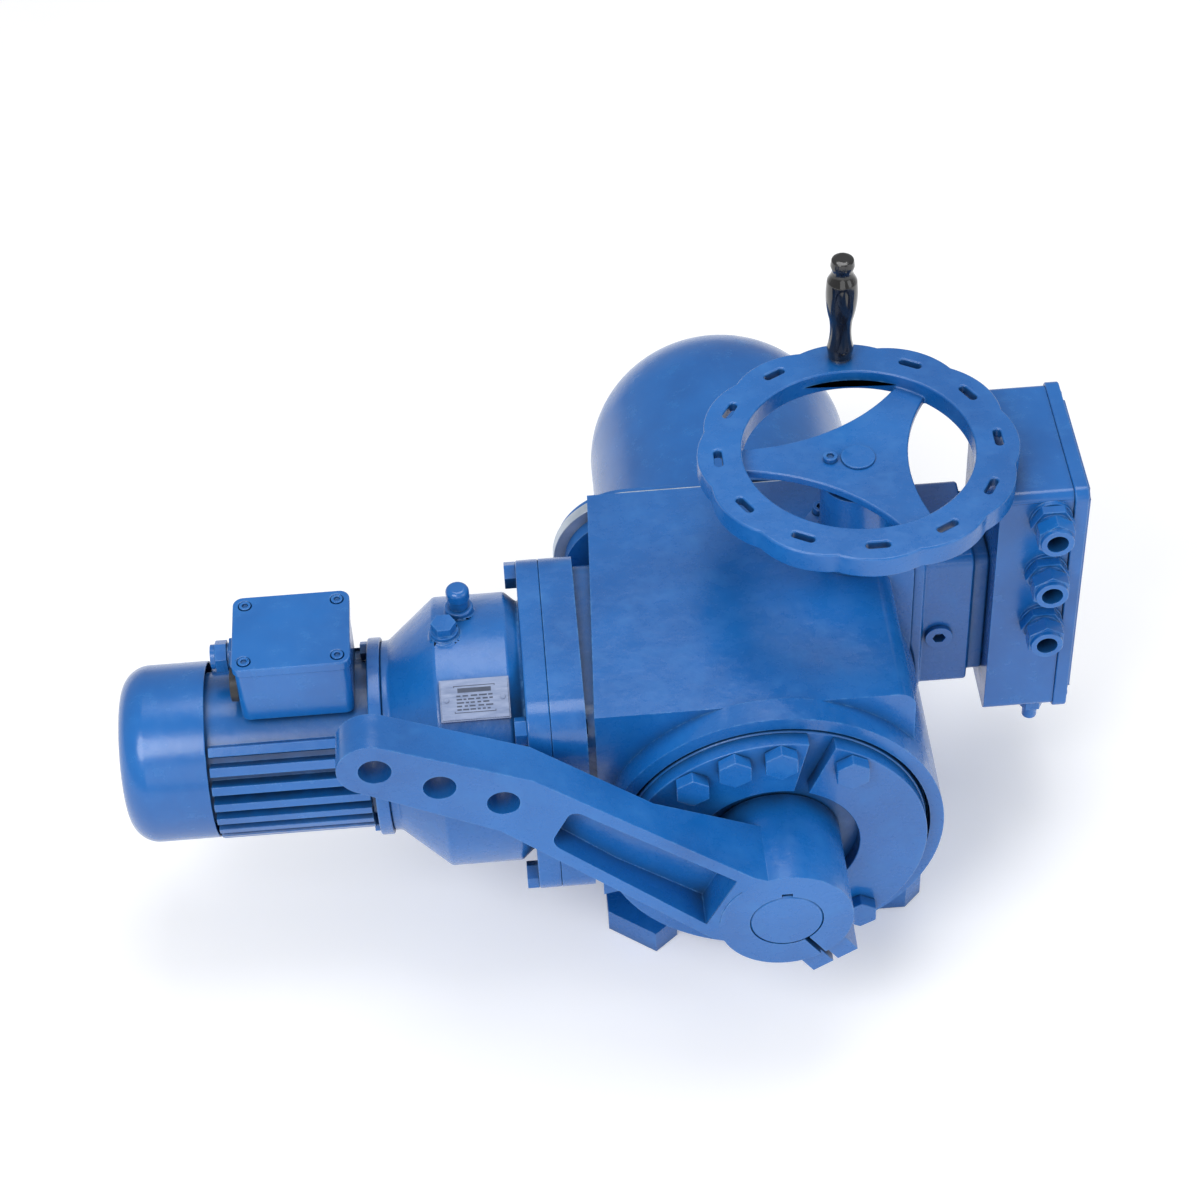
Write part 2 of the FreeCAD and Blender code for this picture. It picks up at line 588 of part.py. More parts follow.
def stator():
    """Laminated core with winding slots."""
    core = tube("x", DRIVE_AT, SHELL_R[0], 37, *STACK)
    teeth = []
    for i in range(STATOR_SLOTS):
        slot = box(STACK[0] - 1, STACK[1] + 1, DRIVE_Y - 2, DRIVE_Y + 2, MOTOR_Z + 36, MOTOR_Z + 46)
        slot.rotate(V(0, DRIVE_Y, MOTOR_Z), V(1, 0, 0), 360 * i / STATOR_SLOTS)
        teeth.append(slot)
    return core.cut(Part.makeCompound(teeth))


def windings():
    """Coil ends at both ends of the stator."""
    coils = []
    for start, end in ((STACK[0] - 14, STACK[0] - 0.5), (STACK[1] + 0.5, STACK[1] + 14)):
        coils.append(turned("x", DRIVE_AT, rounded(start, end, 39, 54, 4)))
    return coils


def rotor_shaft():
    """Motor shaft with the first-stage pinion cut on its end."""
    journal = MOTOR_JOURNAL_R - RUN
    profile = [(-482, 0), (-482, 7), (-428, 7), (-428, journal), (-412, journal), (-412, 12), (-320, 12),
               (-320, journal), (-300, journal), (-300, 10), (-257, 10),
               (-257, journal), (-238, journal), (-238, 0)]
    pinion = spur_gear("x", DRIVE_AT, SPUR_MODULE, PINION_TEETH, SPUR_SLACK, -238, -216, math.pi / 2)
    return turned("x", DRIVE_AT, profile).fuse(pinion)


def rotor_core():
    return tube("x", DRIVE_AT, 36.5, 12, *STACK)


def cooling_fan():
    """Hub, disc and straight blades on the motor shaft."""
    hub = cyl("x", DRIVE_AT, 16, -478, -450)
    disc = cyl("x", DRIVE_AT, 56, -453, -450)
    blades = []
    for i in range(FAN_BLADES):
        blade = box(-474, -453, DRIVE_Y - 1.5, DRIVE_Y + 1.5, MOTOR_Z + 14, MOTOR_Z + 56)
        blade.rotate(V(0, DRIVE_Y, MOTOR_Z), V(1, 0, 0), 360 * i / FAN_BLADES)
        blades.append(blade)
    return fuse([hub, disc] + blades).cut(cyl("x", DRIVE_AT, 7, -482, -440))


def fan_cover():
    """Sheet cap over the fan, with a rounded end and a grille of round holes."""
    r, edge = FAN_COVER_R, 22.0
    k = edge * (1 - math.sqrt(0.5))
    outer = [(MOTOR_END, 0), (MOTOR_END, r - edge), (MOTOR_END + k, r - k, MOTOR_END + edge, r),
             (FRAME_START + 2, r), (FRAME_START + 2, r - 2), (MOTOR_END + edge, r - 2),
             (MOTOR_END + k + 1.4, r - k - 1.4, MOTOR_END + 2, r - edge), (MOTOR_END + 2, 0)]
    cap = turned("x", DRIVE_AT, outer)
    holes = []
    for radius, count in ((12, 6), (23, 12), (34, 18), (44, 24)):
        for i in range(count):
            at = polar(radius, 360 * i / count, DRIVE_AT)
            holes.append(cyl("x", at, 3.4, MOTOR_END - 1, MOTOR_END + 6))
    return cap.cut(Part.makeCompound(holes)).removeSplitter()


def terminal_box():
    """Open-topped box on the motor, with a hole in its floor and two cable entries."""
    shell = prism("z", rounded(TERM_X[0], TERM_X[1], TERM_Y[0], TERM_Y[1], 7), TERM_Z[0], TERM_Z[1])
    room = prism("z", rounded(TERM_X[0] + 4, TERM_X[1] - 4, TERM_Y[0] + 4, TERM_Y[1] - 4, 4),
                 TERM_Z[0] + 4, TERM_Z[1] + 1)
    posts = [cyl("z", at, 5.5, TERM_Z[0] + 3, TERM_Z[1]) for at in terminal_screw_places()]
    shell = fuse([shell.cut(room)] + posts)
    holes = [cyl("z", WIRE_AT, WIRE_R, TERM_Z[0] - 1, TERM_Z[0] + 5),
             cyl("x", MOTOR_GLAND_AT, 10, TERM_X[0] - 1, TERM_X[0] + 6),
             cyl("x", MOTOR_PLUG_AT, 10, TERM_X[0] - 1, TERM_X[0] + 6)]
    holes += [cyl("z", at, 2.5, TERM_Z[1] - 14, TERM_Z[1] + 1) for at in terminal_screw_places()]
    return shell.cut(Part.makeCompound(holes))


def terminal_screw_places():
    return [(x, y) for x in (TERM_X[0] + 8, TERM_X[1] - 8) for y in (TERM_Y[0] + 8, TERM_Y[1] - 8)]


def terminal_lid():
    plate = prism("z", rounded(TERM_X[0] - 1.5, TERM_X[1] + 1.5, TERM_Y[0] - 1.5, TERM_Y[1] + 1.5, 8),
                  TERM_Z[1], TERM_Z[2])
    holes = [cyl("z", at, 2.5, TERM_Z[1] - 1, TERM_Z[2] + 1) for at in terminal_screw_places()]
    holes += [cyl("z", at, 5, TERM_Z[2] - 3, TERM_Z[2] + 1) for at in terminal_screw_places()]
    return plate.cut(Part.makeCompound(holes))


def terminal_screws():
    return [socket_screw("z", at, 2.5, 4.5, TERM_Z[2] + 0.5, TERM_Z[2] - 3, TERM_Z[1] - 12)
            for at in terminal_screw_places()]


def terminal_block():
    """Insulating block with three studs for the motor leads."""
    x, y, z = WIRE_AT[0], TERM_Y[0] + 7, TERM_Z[0] + 4
    block = box(x - 28, x + 28, y, y + 20, z, z + 12).cut(cyl("z", WIRE_AT, WIRE_R, z - 1, z + 13))
    studs = [cyl("z", (x + 22 * i, y + 5), 2, z + 12, z + 22) for i in (-1, 0, 1)]
    return fuse([block] + studs)


def motor_gland():
    """Hexagon cable gland with a domed nut and a cable hole."""
    at, face = MOTOR_GLAND_AT, TERM_X[0]
    body = [hexagon("x", at, 24, face - 7, face), cyl("x", at, 10, face - 2, face + 5),
            cyl("x", at, 10, face - 10, face - 6), hexagon("x", at, 22, face - 18, face - 9, 30),
            cyl("x", at, 9.5, face - 22, face - 17)]
    return fuse(body).cut(cyl("x", at, 6, face - 30, face + 10))


def motor_blank():
    """Blanking plug with a recessed socket in the second entry."""
    at, face = MOTOR_PLUG_AT, TERM_X[0]
    body = fuse([cyl("x", at, 13, face - 6, face), cyl("x", at, 10, face - 2, face + 4)])
    return body.cut(hexagon("x", at, 12, face - 7, face - 1))


# ---------------------------------------------------------------- rear hood and position sensing
def hood_screw_holes(start, end):
    return [cyl("y", at, HOOD_SCREW_R, start, end) for at in HOOD_SCREWS]


def hood_ring():
    """Light sealing ring between the rear flange and the hood."""
    start, end = BODY_BACK, BODY_BACK + REAR_RING
    ring = prism("y", rear_outline(), start, end)
    holes = [cyl("y", HOOD_AT, 88, start - 1, end + 1)] + hood_screw_holes(start - 1, end + 1)
    return ring.cut(Part.makeCompound(holes))


def rear_hood():
    """Deep round hood with a domed end over the position sensor, on a round-cornered flange."""
    start, end, r, bend, t = BODY_BACK + REAR_RING, HOOD_END, HOOD_R, HOOD_BEND, 5.0
    k = bend * (1 - math.sqrt(0.5))
    outside = [(start, 0), (start, r), (end - bend, r), (end - k, r - k, end, r - bend), (end, 0)]
    k += t * math.sqrt(0.5)
    inside = [(start - 1, 0), (start - 1, r - t), (end - bend, r - t), (end - k, r - k, end - t, r - bend),
              (end - t, 0)]
    hood = turned("y", HOOD_AT, outside).fuse(prism("y", rear_outline(3.0), start, start + HOOD_FLANGE))
    holes = hood_screw_holes(start - 1, start + HOOD_FLANGE + 1)
    return hood.cut(Part.makeCompound([turned("y", HOOD_AT, inside)] + holes)).removeSplitter()


def hood_screws():
    start = BODY_BACK + REAR_RING + HOOD_FLANGE
    return [hex_bolt("y", at, HOOD_SCREW_R, 9, start + 5, start, BODY_BACK - 6) for at in HOOD_SCREWS]


def sensor_plate():
    """Bracket in the hood: a plate on three pillars that carries the sensor shaft and the board."""
    start, end = SENSOR_PLATE_Y
    plate = cyl("y", HOOD_AT, 84, start, end)
    plate = plate.cut(cyl("y", OUT_AT, 22, start - 1, end + 1))
    plate = plate.cut(cyl("y", SENSOR_AT, 5, start - 1, end + 1))
    pillars = [cyl("y", polar(76, a, HOOD_AT), 5, BODY_BACK, start + 1) for a in (45, 150, 240)]
    return fuse([plate] + pillars)


def sensor_shaft():
    """Shaft with its gear and two switch cams, driven from the output shaft."""
    at = SENSOR_AT
    phase = math.pi + math.pi / SENSOR_TEETH
    gear = spur_gear("y", at, FEEDBACK_MODULE, SENSOR_TEETH, FEEDBACK_SLACK, *FEEDBACK_Y, phase)
    shaft = turned("y", at, [(152, 0), (152, 4), (178, 4), (178, 5 - RUN), (212, 5 - RUN), (212, 0)])
    cams = []
    for start, turn in ((190, 0), (200, 70)):
        cam = prism("y", [polar(14, turn - 60, at), polar(14, turn, at) + polar(14, turn + 60, at),
                          polar(9, turn + 150, at) + polar(14, turn - 60, at)], start, start + 5)
        cams.append(cam)
    return fuse([gear, shaft] + cams)


def position_sensor():
    """Rotary sensor on the shaft's end, held by an angled arm."""
    low, high = SENSOR_Z - 6, SENSOR_Z + 6
    body = cyl("y", SENSOR_AT, 19, 214, 232)
    return fuse([body, box(-34, -22, SENSOR_PLATE_Y[1], 214, low, high), box(-34, 0, 214, 226, low, high)])


def control_board():
    """Printed board on four posts, with a few components."""
    x0, x1, z0, z1, face = -62, 62, 110, 210, 242
    parts = [box(x0, x1, face - 2, face, z0, z1)]
    for x, z, w, h, d in ((-50, 124, 24, 16, 8), (-50, 170, 16, 22, 6), (5, 182, 22, 22, 9),
                          (-20, 150, 18, 12, 5)):
        parts.append(box(x, x + w, face, face + d, z, z + h))
    for x in (x0 + 8, x1 - 8):
        for z in (z0 + 8, z1 - 8):
            parts.append(cyl("y", (x, z), 3.5, SENSOR_PLATE_Y[1], face - 2))
    return fuse(parts)


# ---------------------------------------------------------------- output shaft, wheel and lever
def output_shaft():
    """Stepped shaft with two keyways and the seats of the lever, the wheel and both bearings."""
    journal = REAR_JOURNAL_R - RUN
    profile = [(LEVER_FRONT, 0), (LEVER_FRONT, SHAFT_R - 1.5), (LEVER_FRONT + 1.5, SHAFT_R), (-102, SHAFT_R),
               (-102, 33), (-32, 33), (-32, WHEEL_SEAT_R), (2, WHEEL_SEAT_R), (2, 27), (106, 27), (106, 24),
               (111, 24), (111, journal), (132, journal), (132, 15), (172, 15), (172, 0)]
    shaft = turned("y", OUT_AT, profile)
    keys = [box(-KEY, KEY, -28, 2.5, OUT_Z + 26, OUT_Z + 40),
            box(-KEY, KEY, LEVER_FRONT + 20, LEVER_BACK - 6, OUT_Z + 23, OUT_Z + 50)]
    journal = tube("y", OUT_AT, SHAFT_R + 2, SHAFT_R - RUN, -120, -99)
    return shaft.cut(Part.makeCompound(keys + [journal]))


def shaft_keys():
    """Keys of the worm wheel and of the lever."""
    return [box(-KEY, KEY, -28, -2, OUT_Z + 26, OUT_Z + 33),
            box(-KEY, KEY, LEVER_FRONT + 20, LEVER_BACK - 6, OUT_Z + 23, OUT_Z + 31)]


def worm_wheel():
    """Helical worm wheel with its hub and keyway."""
    lead_angle = math.atan(WORM_LEAD / (2 * math.pi * WORM_PITCH_R))
    twist = 20 * math.tan(lead_angle) / WHEEL_PITCH_R
    rim = spur_gear("y", OUT_AT, WORM_MODULE, WHEEL_TEETH, WORM_SLACK, DRIVE_Y - 10, DRIVE_Y + 10,
                    math.pi / WHEEL_TEETH, twist)
    hub = cyl("y", OUT_AT, 38, -31, 1)
    wheel = rim.fuse(hub).cut(cyl("y", OUT_AT, WHEEL_SEAT_R, -40, 10))
    return wheel.cut(box(-KEY, KEY, -40, 10, OUT_Z + 20, OUT_Z + 33))


def feedback_gear():
    gear = spur_gear("y", OUT_AT, FEEDBACK_MODULE, FEEDBACK_TEETH, FEEDBACK_SLACK, *FEEDBACK_Y)
    return gear.fuse(cyl("y", OUT_AT, 22, 152, 161)).cut(cyl("y", OUT_AT, 15, 150, 170))


def lever_arm():
    """Clamped lever: split hub, tapered arm with a front pocket, three link holes and a stop lug."""
    arm = [(0, -38), (60, -36), (ARM_END, -25), (ARM_END + 25, 0, ARM_END, 25), (60, 36), (0, 38)]
    plan = prism("y", arm, LEVER_FRONT - 1, RING_FRONT + 1)
    flank = [(-20, LEVER_FRONT), (45, LEVER_FRONT), (215, ARM_FLAT_FRONT), (360, ARM_FLAT_FRONT),
             (360, ARM_FLAT_BACK), (215, ARM_FLAT_BACK), (120, -160), (-20, -160)]
    side = Part.Face(wire(flank, lambda u, y: V(u, y, -60))).extrude(V(0, 0, 120))
    arm = plan.common(side)
    pocket_plan = prism("y", [(54, -26), (172, -20), (178, -17, 180, -12), (180, 12),
                               (178, 17, 172, 20), (54, 26)], LEVER_FRONT - 2, RING_FRONT)
    floor = [(40, LEVER_FRONT - 2), (215, LEVER_FRONT - 2), (215, -141), (125, -169), (40, -184)]
    pocket = pocket_plan.common(Part.Face(wire(floor, lambda u, y: V(u, y, -60))).extrude(V(0, 0, 120)))
    arm = arm.cut(pocket)
    holes = [cyl("y", (r, 0), ARM_HOLE_R, LEVER_FRONT, -120) for r in ARM_HOLE_RADII]
    arm = arm.cut(Part.makeCompound(holes))
    arm.rotate(V(0, 0, 0), V(0, 1, 0), -LEVER_ANGLE)
    arm.translate(V(0, 0, OUT_Z))
    hub = cyl("y", OUT_AT, HUB_R, LEVER_FRONT, LEVER_BACK)
    hub = hub.fuse(clamp_frame(box(30, 68, LEVER_FRONT + 4, -158, -20, 20)))
    lug = prism("y", sector(40, 85, STOP_LUG - 12, STOP_LUG + 12), SEGMENT_FRONT, LEVER_BACK)
    solid = fuse([hub, arm, lug])
    bore = cyl("y", OUT_AT, SHAFT_R, LEVER_FRONT - 1, LEVER_BACK + 1)
    slot = clamp_frame(box(20, 70, LEVER_FRONT - 1, LEVER_BACK - 12, -2, 2))
    key = box(-KEY, KEY, LEVER_FRONT - 1, LEVER_BACK + 1, OUT_Z, OUT_Z + 31)
    screw = clamp_frame(cyl("z", CLAMP_SCREW_AT, CLAMP_R, -30, 30))
    head = clamp_frame(cyl("z", CLAMP_SCREW_AT, 8.5, 13, 30))
    return solid.cut(Part.makeCompound([bore, slot, key, screw, head])).removeSplitter()


def clamp_frame(shape):
    """Turns a shape made beside the axis so that its X points along the clamp's split."""
    shape.rotate(V(0, 0, 0), V(0, 1, 0), -CLAMP_ANGLE)
    shape.translate(V(0, 0, OUT_Z))
    return shape


def clamp_screw():
    return clamp_frame(socket_screw("z", CLAMP_SCREW_AT, CLAMP_R, 8, 23, 13, -18))


def worm_shaft():
    """Worm with its shaft, and the miter gear at its far end that the hand drive turns."""
    journal = MOTOR_JOURNAL_R - RUN
    profile = [(-252.5, 0), (-252.5, journal), (-240, journal), (-240, 11), (-164, 11), (-164, 15 - RUN),
               (-146, 15 - RUN), (-146, 17), (-136, 17), (-136, 12), (-38, 12), (-38, 10), (36, 10),
               (36, 12), (52, 12), (52, 10 - RUN), (67, 10 - RUN), (67, 8), (72, 8),
               (72, 4), (76, 4), (76, 0)]
    shaft = turned("x", WORM_AT, profile)
    shaft = shaft.fuse(worm_thread())
    gear = miter_gear(V(WHEEL_X, DRIVE_Y, WORM_Z), V(-1, 0, 0), V(0, 1, 0), False)
    collar = cyl("x", WORM_AT, 8.5, 67, WHEEL_X - MITER_BACK)
    return shaft.fuse([gear, collar])


def worm_thread():
    """Right-hand thread; at the side facing the wheel a crest stands at x = 0."""
    start = WORM_LEAD / 4 - 4 * WORM_LEAD
    tip_r = WORM_PITCH_R + WORM_MODULE
    root_r = WORM_PITCH_R - DEDENDUM * WORM_MODULE - 0.3
    half = (WORM_LEAD / 2 - WORM_SLACK) / 2
    slope = math.tan(PRESSURE)
    tip_half = half - WORM_MODULE * slope
    root_half = half + (WORM_PITCH_R - root_r) * slope
    helix = Part.makeHelix(WORM_LEAD, 7.5 * WORM_LEAD, root_r)
    corners = [V(root_r, 0, -root_half), V(tip_r, 0, -tip_half), V(tip_r, 0, tip_half),
               V(root_r, 0, root_half)]
    profile = Part.makePolygon(corners + [corners[0]])
    thread = Part.Wire(helix.Edges).makePipeShell([profile], True, True)
    first, _, third = AXES["x"]
    return put(thread, first, third, V(start, DRIVE_Y, WORM_Z))


def first_stage_gear():
    step = math.pi / SPUR_TEETH
    gear = spur_gear("x", WORM_AT, SPUR_MODULE, SPUR_TEETH, SPUR_SLACK, -236, -218, -math.pi / 2 + step)
    return gear.fuse(cyl("x", WORM_AT, 18, -219, -210)).cut(cyl("x", WORM_AT, 11, -240, -200))


# ---------------------------------------------------------------- hand drive
def cross_shaft():
    """Short shaft with a miter gear at each end, from the worm to the handwheel shaft."""
    front = miter_gear(V(WHEEL_X, DRIVE_Y, WORM_Z), V(0, 1, 0), V(-1, 0, 0), True)
    back = miter_gear(V(WHEEL_X, WHEEL_Y, WORM_Z), V(0, -1, 0), V(0, 0, 1), False)
    near, far = DRIVE_Y + MITER_BACK, WHEEL_Y - MITER_BACK
    profile = [(near - 4, 0), (near - 4, 4), (near, 4), (near, 8.5), (near + 5, 8.5), (near + 5, 7 - RUN),
               (far - 5, 7 - RUN), (far - 5, 8.5), (far, 8.5), (far, 4), (far + 4, 4), (far + 4, 0)]
    return turned("y", CROSS_AT, profile).fuse([front, back])


def cross_bracket():
    """Arm from the housing roof with the cross shaft's bush bore."""
    near, far = DRIVE_Y + MITER_BACK + 7, WHEEL_Y - MITER_BACK - 7
    arm = box(WHEEL_X - 12, WHEEL_X + 12, near, far, WORM_Z, BODY_TOP - WALL)
    boss = cyl("y", CROSS_AT, 12, near, far)
    return arm.fuse(boss).cut(cyl("y", CROSS_AT, 10, near - 1, far + 1))


def hand_bushes():
    """Bronze bushes of the cross shaft and of the handwheel shaft."""
    near, far = DRIVE_Y + MITER_BACK + 6, WHEEL_Y - MITER_BACK - 6
    middle = (near + far) / 2
    return [tube("y", CROSS_AT, 10, 7, near + 1, middle), tube("y", CROSS_AT, 10, 7, middle, far - 1),
            tube("z", HAND_AT, 14, HAND_SHAFT_R, 268, 290), tube("z", HAND_AT, 14, HAND_SHAFT_R, 318, 336)]


def pedestal():
    """Round pedestal between the housing roof and the handwheel."""
    profile = [(BODY_TOP - 9, 14), (BODY_TOP - 9, 22), (BODY_TOP, 22), (BODY_TOP, PEDESTAL_BASE_R),
               (BODY_TOP + 9, PEDESTAL_BASE_R), (BODY_TOP + 12, 30), (BODY_TOP + 22, 28), (PEDESTAL_TOP, 28),
               (PEDESTAL_TOP, 14)]
    body = turned("z", HAND_AT, profile)
    holes = [cyl("z", at, 4, BODY_TOP - 1, BODY_TOP + 20) for at in hand_bolt_places()]
    holes += [cyl("z", at, 7, BODY_TOP + 9, BODY_TOP + 22) for at in hand_bolt_places()]
    return body.cut(Part.makeCompound(holes))


def pedestal_screws():
    return [socket_screw("z", at, 4, 6.5, BODY_TOP + 16, BODY_TOP + 9, BODY_TOP - 9)
            for at in hand_bolt_places()]


def handwheel_shaft():
    """Upright shaft with a miter gear at its foot and a flat seat for the handwheel."""
    gear = miter_gear(V(WHEEL_X, WHEEL_Y, WORM_Z), V(0, 0, 1), V(0, -1, 0), True)
    low = WORM_Z + MITER_BACK
    hub = PEDESTAL_TOP + 2
    profile = [(low - 4, 0), (low - 4, 4), (low, 4), (low, 8.5), (low + 8, 8.5),
               (low + 8, HAND_SHAFT_R - RUN),
               (hub, HAND_SHAFT_R - RUN), (hub, 8), (WEB_TOP, 8), (WEB_TOP, 0)]
    return turned("z", HAND_AT, profile).fuse(gear)


GRIP_AT = polar(SLOT_PITCH_R, GRIP_ANGLE, HAND_AT)
LOCK_AT = (WHEEL_X - 21, WHEEL_Y + 1)


def scalloped(outer, inner):
    """Rim outline with shallow lobes."""
    step = 360 / LOBES
    points = [polar(inner, -step / 2, HAND_AT)]
    for i in range(LOBES):
        points.append(polar(outer, step * i, HAND_AT) + polar(inner, step * (i + 0.5), HAND_AT))
    return points


def handwheel():
    """Deep scalloped rim with slots, and a three-cornered web with a hub."""
    rim = prism("z", scalloped(RIM_R, RIM_R - 4), RIM_BOTTOM, RIM_TOP)
    rim = rim.cut(cyl("z", HAND_AT, RIM_IN_R, RIM_BOTTOM - 1, RIM_TOP + 1))
    under = cyl("z", HAND_AT, RIM_R - 9, RIM_BOTTOM - 1, RIM_TOP - RIM_DISH)
    under = under.cut(cyl("z", HAND_AT, RIM_IN_R + 6, RIM_BOTTOM - 2, RIM_TOP))
    slots = []
    for i in range(LOBES):
        angle = 360 * i / LOBES
        if angle == GRIP_ANGLE:
            continue
        slot = prism("z", rounded(SLOT_PITCH_R - 3, SLOT_PITCH_R + 3, -9, 9, 2.9),
                     RIM_BOTTOM - 1, RIM_TOP + 1)
        slot.rotate(V(0, 0, 0), V(0, 0, 1), angle)
        slot.translate(V(WHEEL_X, WHEEL_Y, 0))
        slots.append(slot)
    web = []
    for angle in SPOKE_ANGLES:
        start = polar(RIM_IN_R + 2, angle - 8, HAND_AT)
        web.append(polar(38, angle - 60, HAND_AT) + start if web else start)
        web.append(polar(RIM_IN_R + 2, angle + 8, HAND_AT))
    web.append(polar(38, SPOKE_ANGLES[0] - 60, HAND_AT) + web[0])
    plate = prism("z", web, WEB_BOTTOM, WEB_TOP)
    hub = cyl("z", HAND_AT, 26, PEDESTAL_TOP + 2, WEB_TOP)
    wheel = fuse([rim, plate, hub])
    holes = [under, cyl("z", HAND_AT, 8, PEDESTAL_TOP, WEB_TOP + 1),
             cyl("z", GRIP_AT, 5, RIM_BOTTOM - 1, RIM_TOP + 1),
             cyl("z", LOCK_AT, 3, PEDESTAL_TOP, WEB_TOP + 1)] + slots
    return wheel.cut(Part.makeCompound(holes)).removeSplitter()


def handwheel_cap():
    """Disc that covers the shaft end, and the locking screw beside it."""
    cap = cyl("z", HAND_AT, 13, WEB_TOP, WEB_TOP + 2)
    return [cap, socket_screw("z", LOCK_AT, 3, 5.5, WEB_TOP + 4, WEB_TOP, 345)]


def grip_spindle():
    """Pin through the rim that the crank handle turns on."""
    head = RIM_TOP - RIM_DISH
    top = RIM_TOP + 88
    profile = [(head - 5, 0), (head - 5, 7), (head, 7), (head, 5), (RIM_TOP, 5), (RIM_TOP, 8),
               (RIM_TOP + 2, 8),
               (RIM_TOP + 2, 4), (top, 4), (top, 0)]
    return turned("z", GRIP_AT, profile)


def crank_handle():
    """Loose handle on its spindle, waisted near the foot with a small knob on top."""
    z = RIM_TOP + GRIP_FOOT
    profile = [(z, 4.1), (z, 9.5), (z + 8, 10.5), (z + 20, 8.6, z + 37, 9.4), (z + 57, 12.4, z + 74, 11.6),
               (z + 79, 9), (z + 83, 8), (z + 88, 9.4), (z + 93.5, 8.6), (z + 95, 5), (z + 95, 0),
               (z + 87, 0), (z + 87, 4.1)]
    return turned("z", GRIP_AT, profile)


# ---------------------------------------------------------------- connection box
def neck_room():
    """Outline of the wire passage through the neck."""
    _, _, y0, y1, z0, z1 = NECK
    return rounded(y0 + NECK_WALL, y1 - NECK_WALL, z0 + NECK_WALL, z1 - NECK_WALL, 6)


def connection_neck():
    """Hollow neck that carries the connection box and its wires."""
    x0, x1, y0, y1, z0, z1 = NECK
    solid = fuse([prism("x", rounded(y0, y1, z0, z1, 9), x0, x1 - 10),
                  prism("x", rounded(y0 - 5, y1 + 5, z0 - 5, z1 + 5, 10), x0, x0 + 10),
                  prism("x", rounded(y0 + 6, y1 - 6, z0 + 6, z1 - 6, 8), x1 - 12, x1 + 3)])
    room = prism("x", neck_room(), x0 - 1, x1 + 4)
    round_body = cyl("y", OUT_AT, RING_R, 0, y1 + 10)
    plug = cyl("y", NECK_PLUG_AT, 8, y0 - 1, y0 + NECK_WALL + 1)
    return solid.cut(room).cut(round_body).cut(plug)


def connection_box():
    """Upright box for the supply and control cables, open on the lid side."""
    x0, x1, y0, y1, z0, z1 = BOX
    shell = prism("x", rounded(y0, y1, z0, z1, 8), x0, x1)
    room = prism("x", rounded(y0 + 5, y1 - 5, z0 + 5, z1 - 5, 5), x0 + 5, x1 + 1)
    bosses = [cyl("y", (GLAND_X, z), GLAND_BOSS_R, y0 - 3, y0 + 6) for z in GLAND_HEIGHTS]
    posts = [cyl("x", at, 6, x0 + 4, x1) for at in lid_screw_places()]
    shell = fuse([shell.cut(room)] + bosses + posts)
    holes = [prism("x", neck_room(), x0 - 1, x0 + 6), cyl("z", DRAIN_AT, 8, z0 - 1, z0 + 7)]
    holes += [cyl("y", (GLAND_X, z), GLAND_BODY_R, y0 - 4, y0 + 7) for z in GLAND_HEIGHTS]
    holes += [cyl("x", at, 2.5, x1 - 16, x1 + 1) for at in lid_screw_places()]
    return shell.cut(Part.makeCompound(holes))


def lid_screw_places():
    _, _, y0, y1, z0, z1 = BOX
    return [(y, z) for y in (y0 + 9, y1 - 9) for z in (z0 + 9, z1 - 9)]


def connection_lid():
    """Lid with a slightly crowned outer face."""
    x1, y0, y1, z0, z1 = BOX[1:]
    plate = prism("x", rounded(y0 - 2, y1 + 2, z0 - 2, z1 + 2, 9), x1, BOX_LID_END - 4)
    crown = prism("x", rounded(y0 + 8, y1 - 8, z0 + 8, z1 - 8, 8), BOX_LID_END - 5, BOX_LID_END)
    hollow = prism("x", rounded(y0 + 20, y1 - 20, z0 + 20, z1 - 20, 6), x1 - 1, x1 + 6)
    holes = [cyl("x", at, 2.5, x1 - 1, BOX_LID_END + 1) for at in lid_screw_places()]
    holes += [cyl("x", at, 5, BOX_LID_END - 6, BOX_LID_END + 1) for at in lid_screw_places()]
    return plate.fuse(crown).cut(Part.makeCompound(holes + [hollow])).removeSplitter()


def lid_screws():
    return [socket_screw("x", at, 2.5, 4.5, BOX_LID_END - 2, BOX_LID_END - 6, BOX[1] - 14)
            for at in lid_screw_places()]


def cable_glands():
    """Three cable glands on the box's front."""
    glands = []
    y0 = BOX[2]
    for z in GLAND_HEIGHTS:
        at = (GLAND_X, z)
        body = [cyl("y", at, GLAND_BODY_R, y0 - 4, y0 + 6), hexagon("y", at, 30, y0 - 11, y0 - 3),
                cyl("y", at, 13, y0 - 15, y0 - 10), hexagon("y", at, 27, y0 - 26, y0 - 14, 30),
                cyl("y", at, GLAND_BODY_R, y0 - 30, y0 - 25)]
        glands.append(fuse(body).cut(cyl("y", at, GLAND_HOLE_R, y0 - 31, y0 + 7)))
    return glands


def terminal_strip():
    """Row of terminals on a rail inside the connection box."""
    x0 = BOX[0] + 5
    rail = box(x0, x0 + 3, 26, 42, 140, 310)
    blocks = [box(x0 + 3, x0 + 26, 24, 44, 146 + 13 * i, 158 + 13 * i) for i in range(12)]
    return fuse([rail] + blocks)


def box_plugs():
    """Drain plug under the connection box and the blanking plug on the neck."""
    z0, y0 = BOX[4], NECK[2]
    drain = fuse([cyl("z", DRAIN_AT, 8, z0 - 1, z0 + 6), hexagon("z", DRAIN_AT, 19, z0 - 10, z0),
                  cyl("z", DRAIN_AT, 6, z0 - 24, z0 - 9)])
    neck = fuse([cyl("y", NECK_PLUG_AT, 8, y0 - 1, y0 + 12), cyl("y", NECK_PLUG_AT, 11, y0 - 4, y0)])
    neck = neck.cut(hexagon("y", NECK_PLUG_AT, 9, y0 - 5, y0 + 4))
    return [drain, neck]


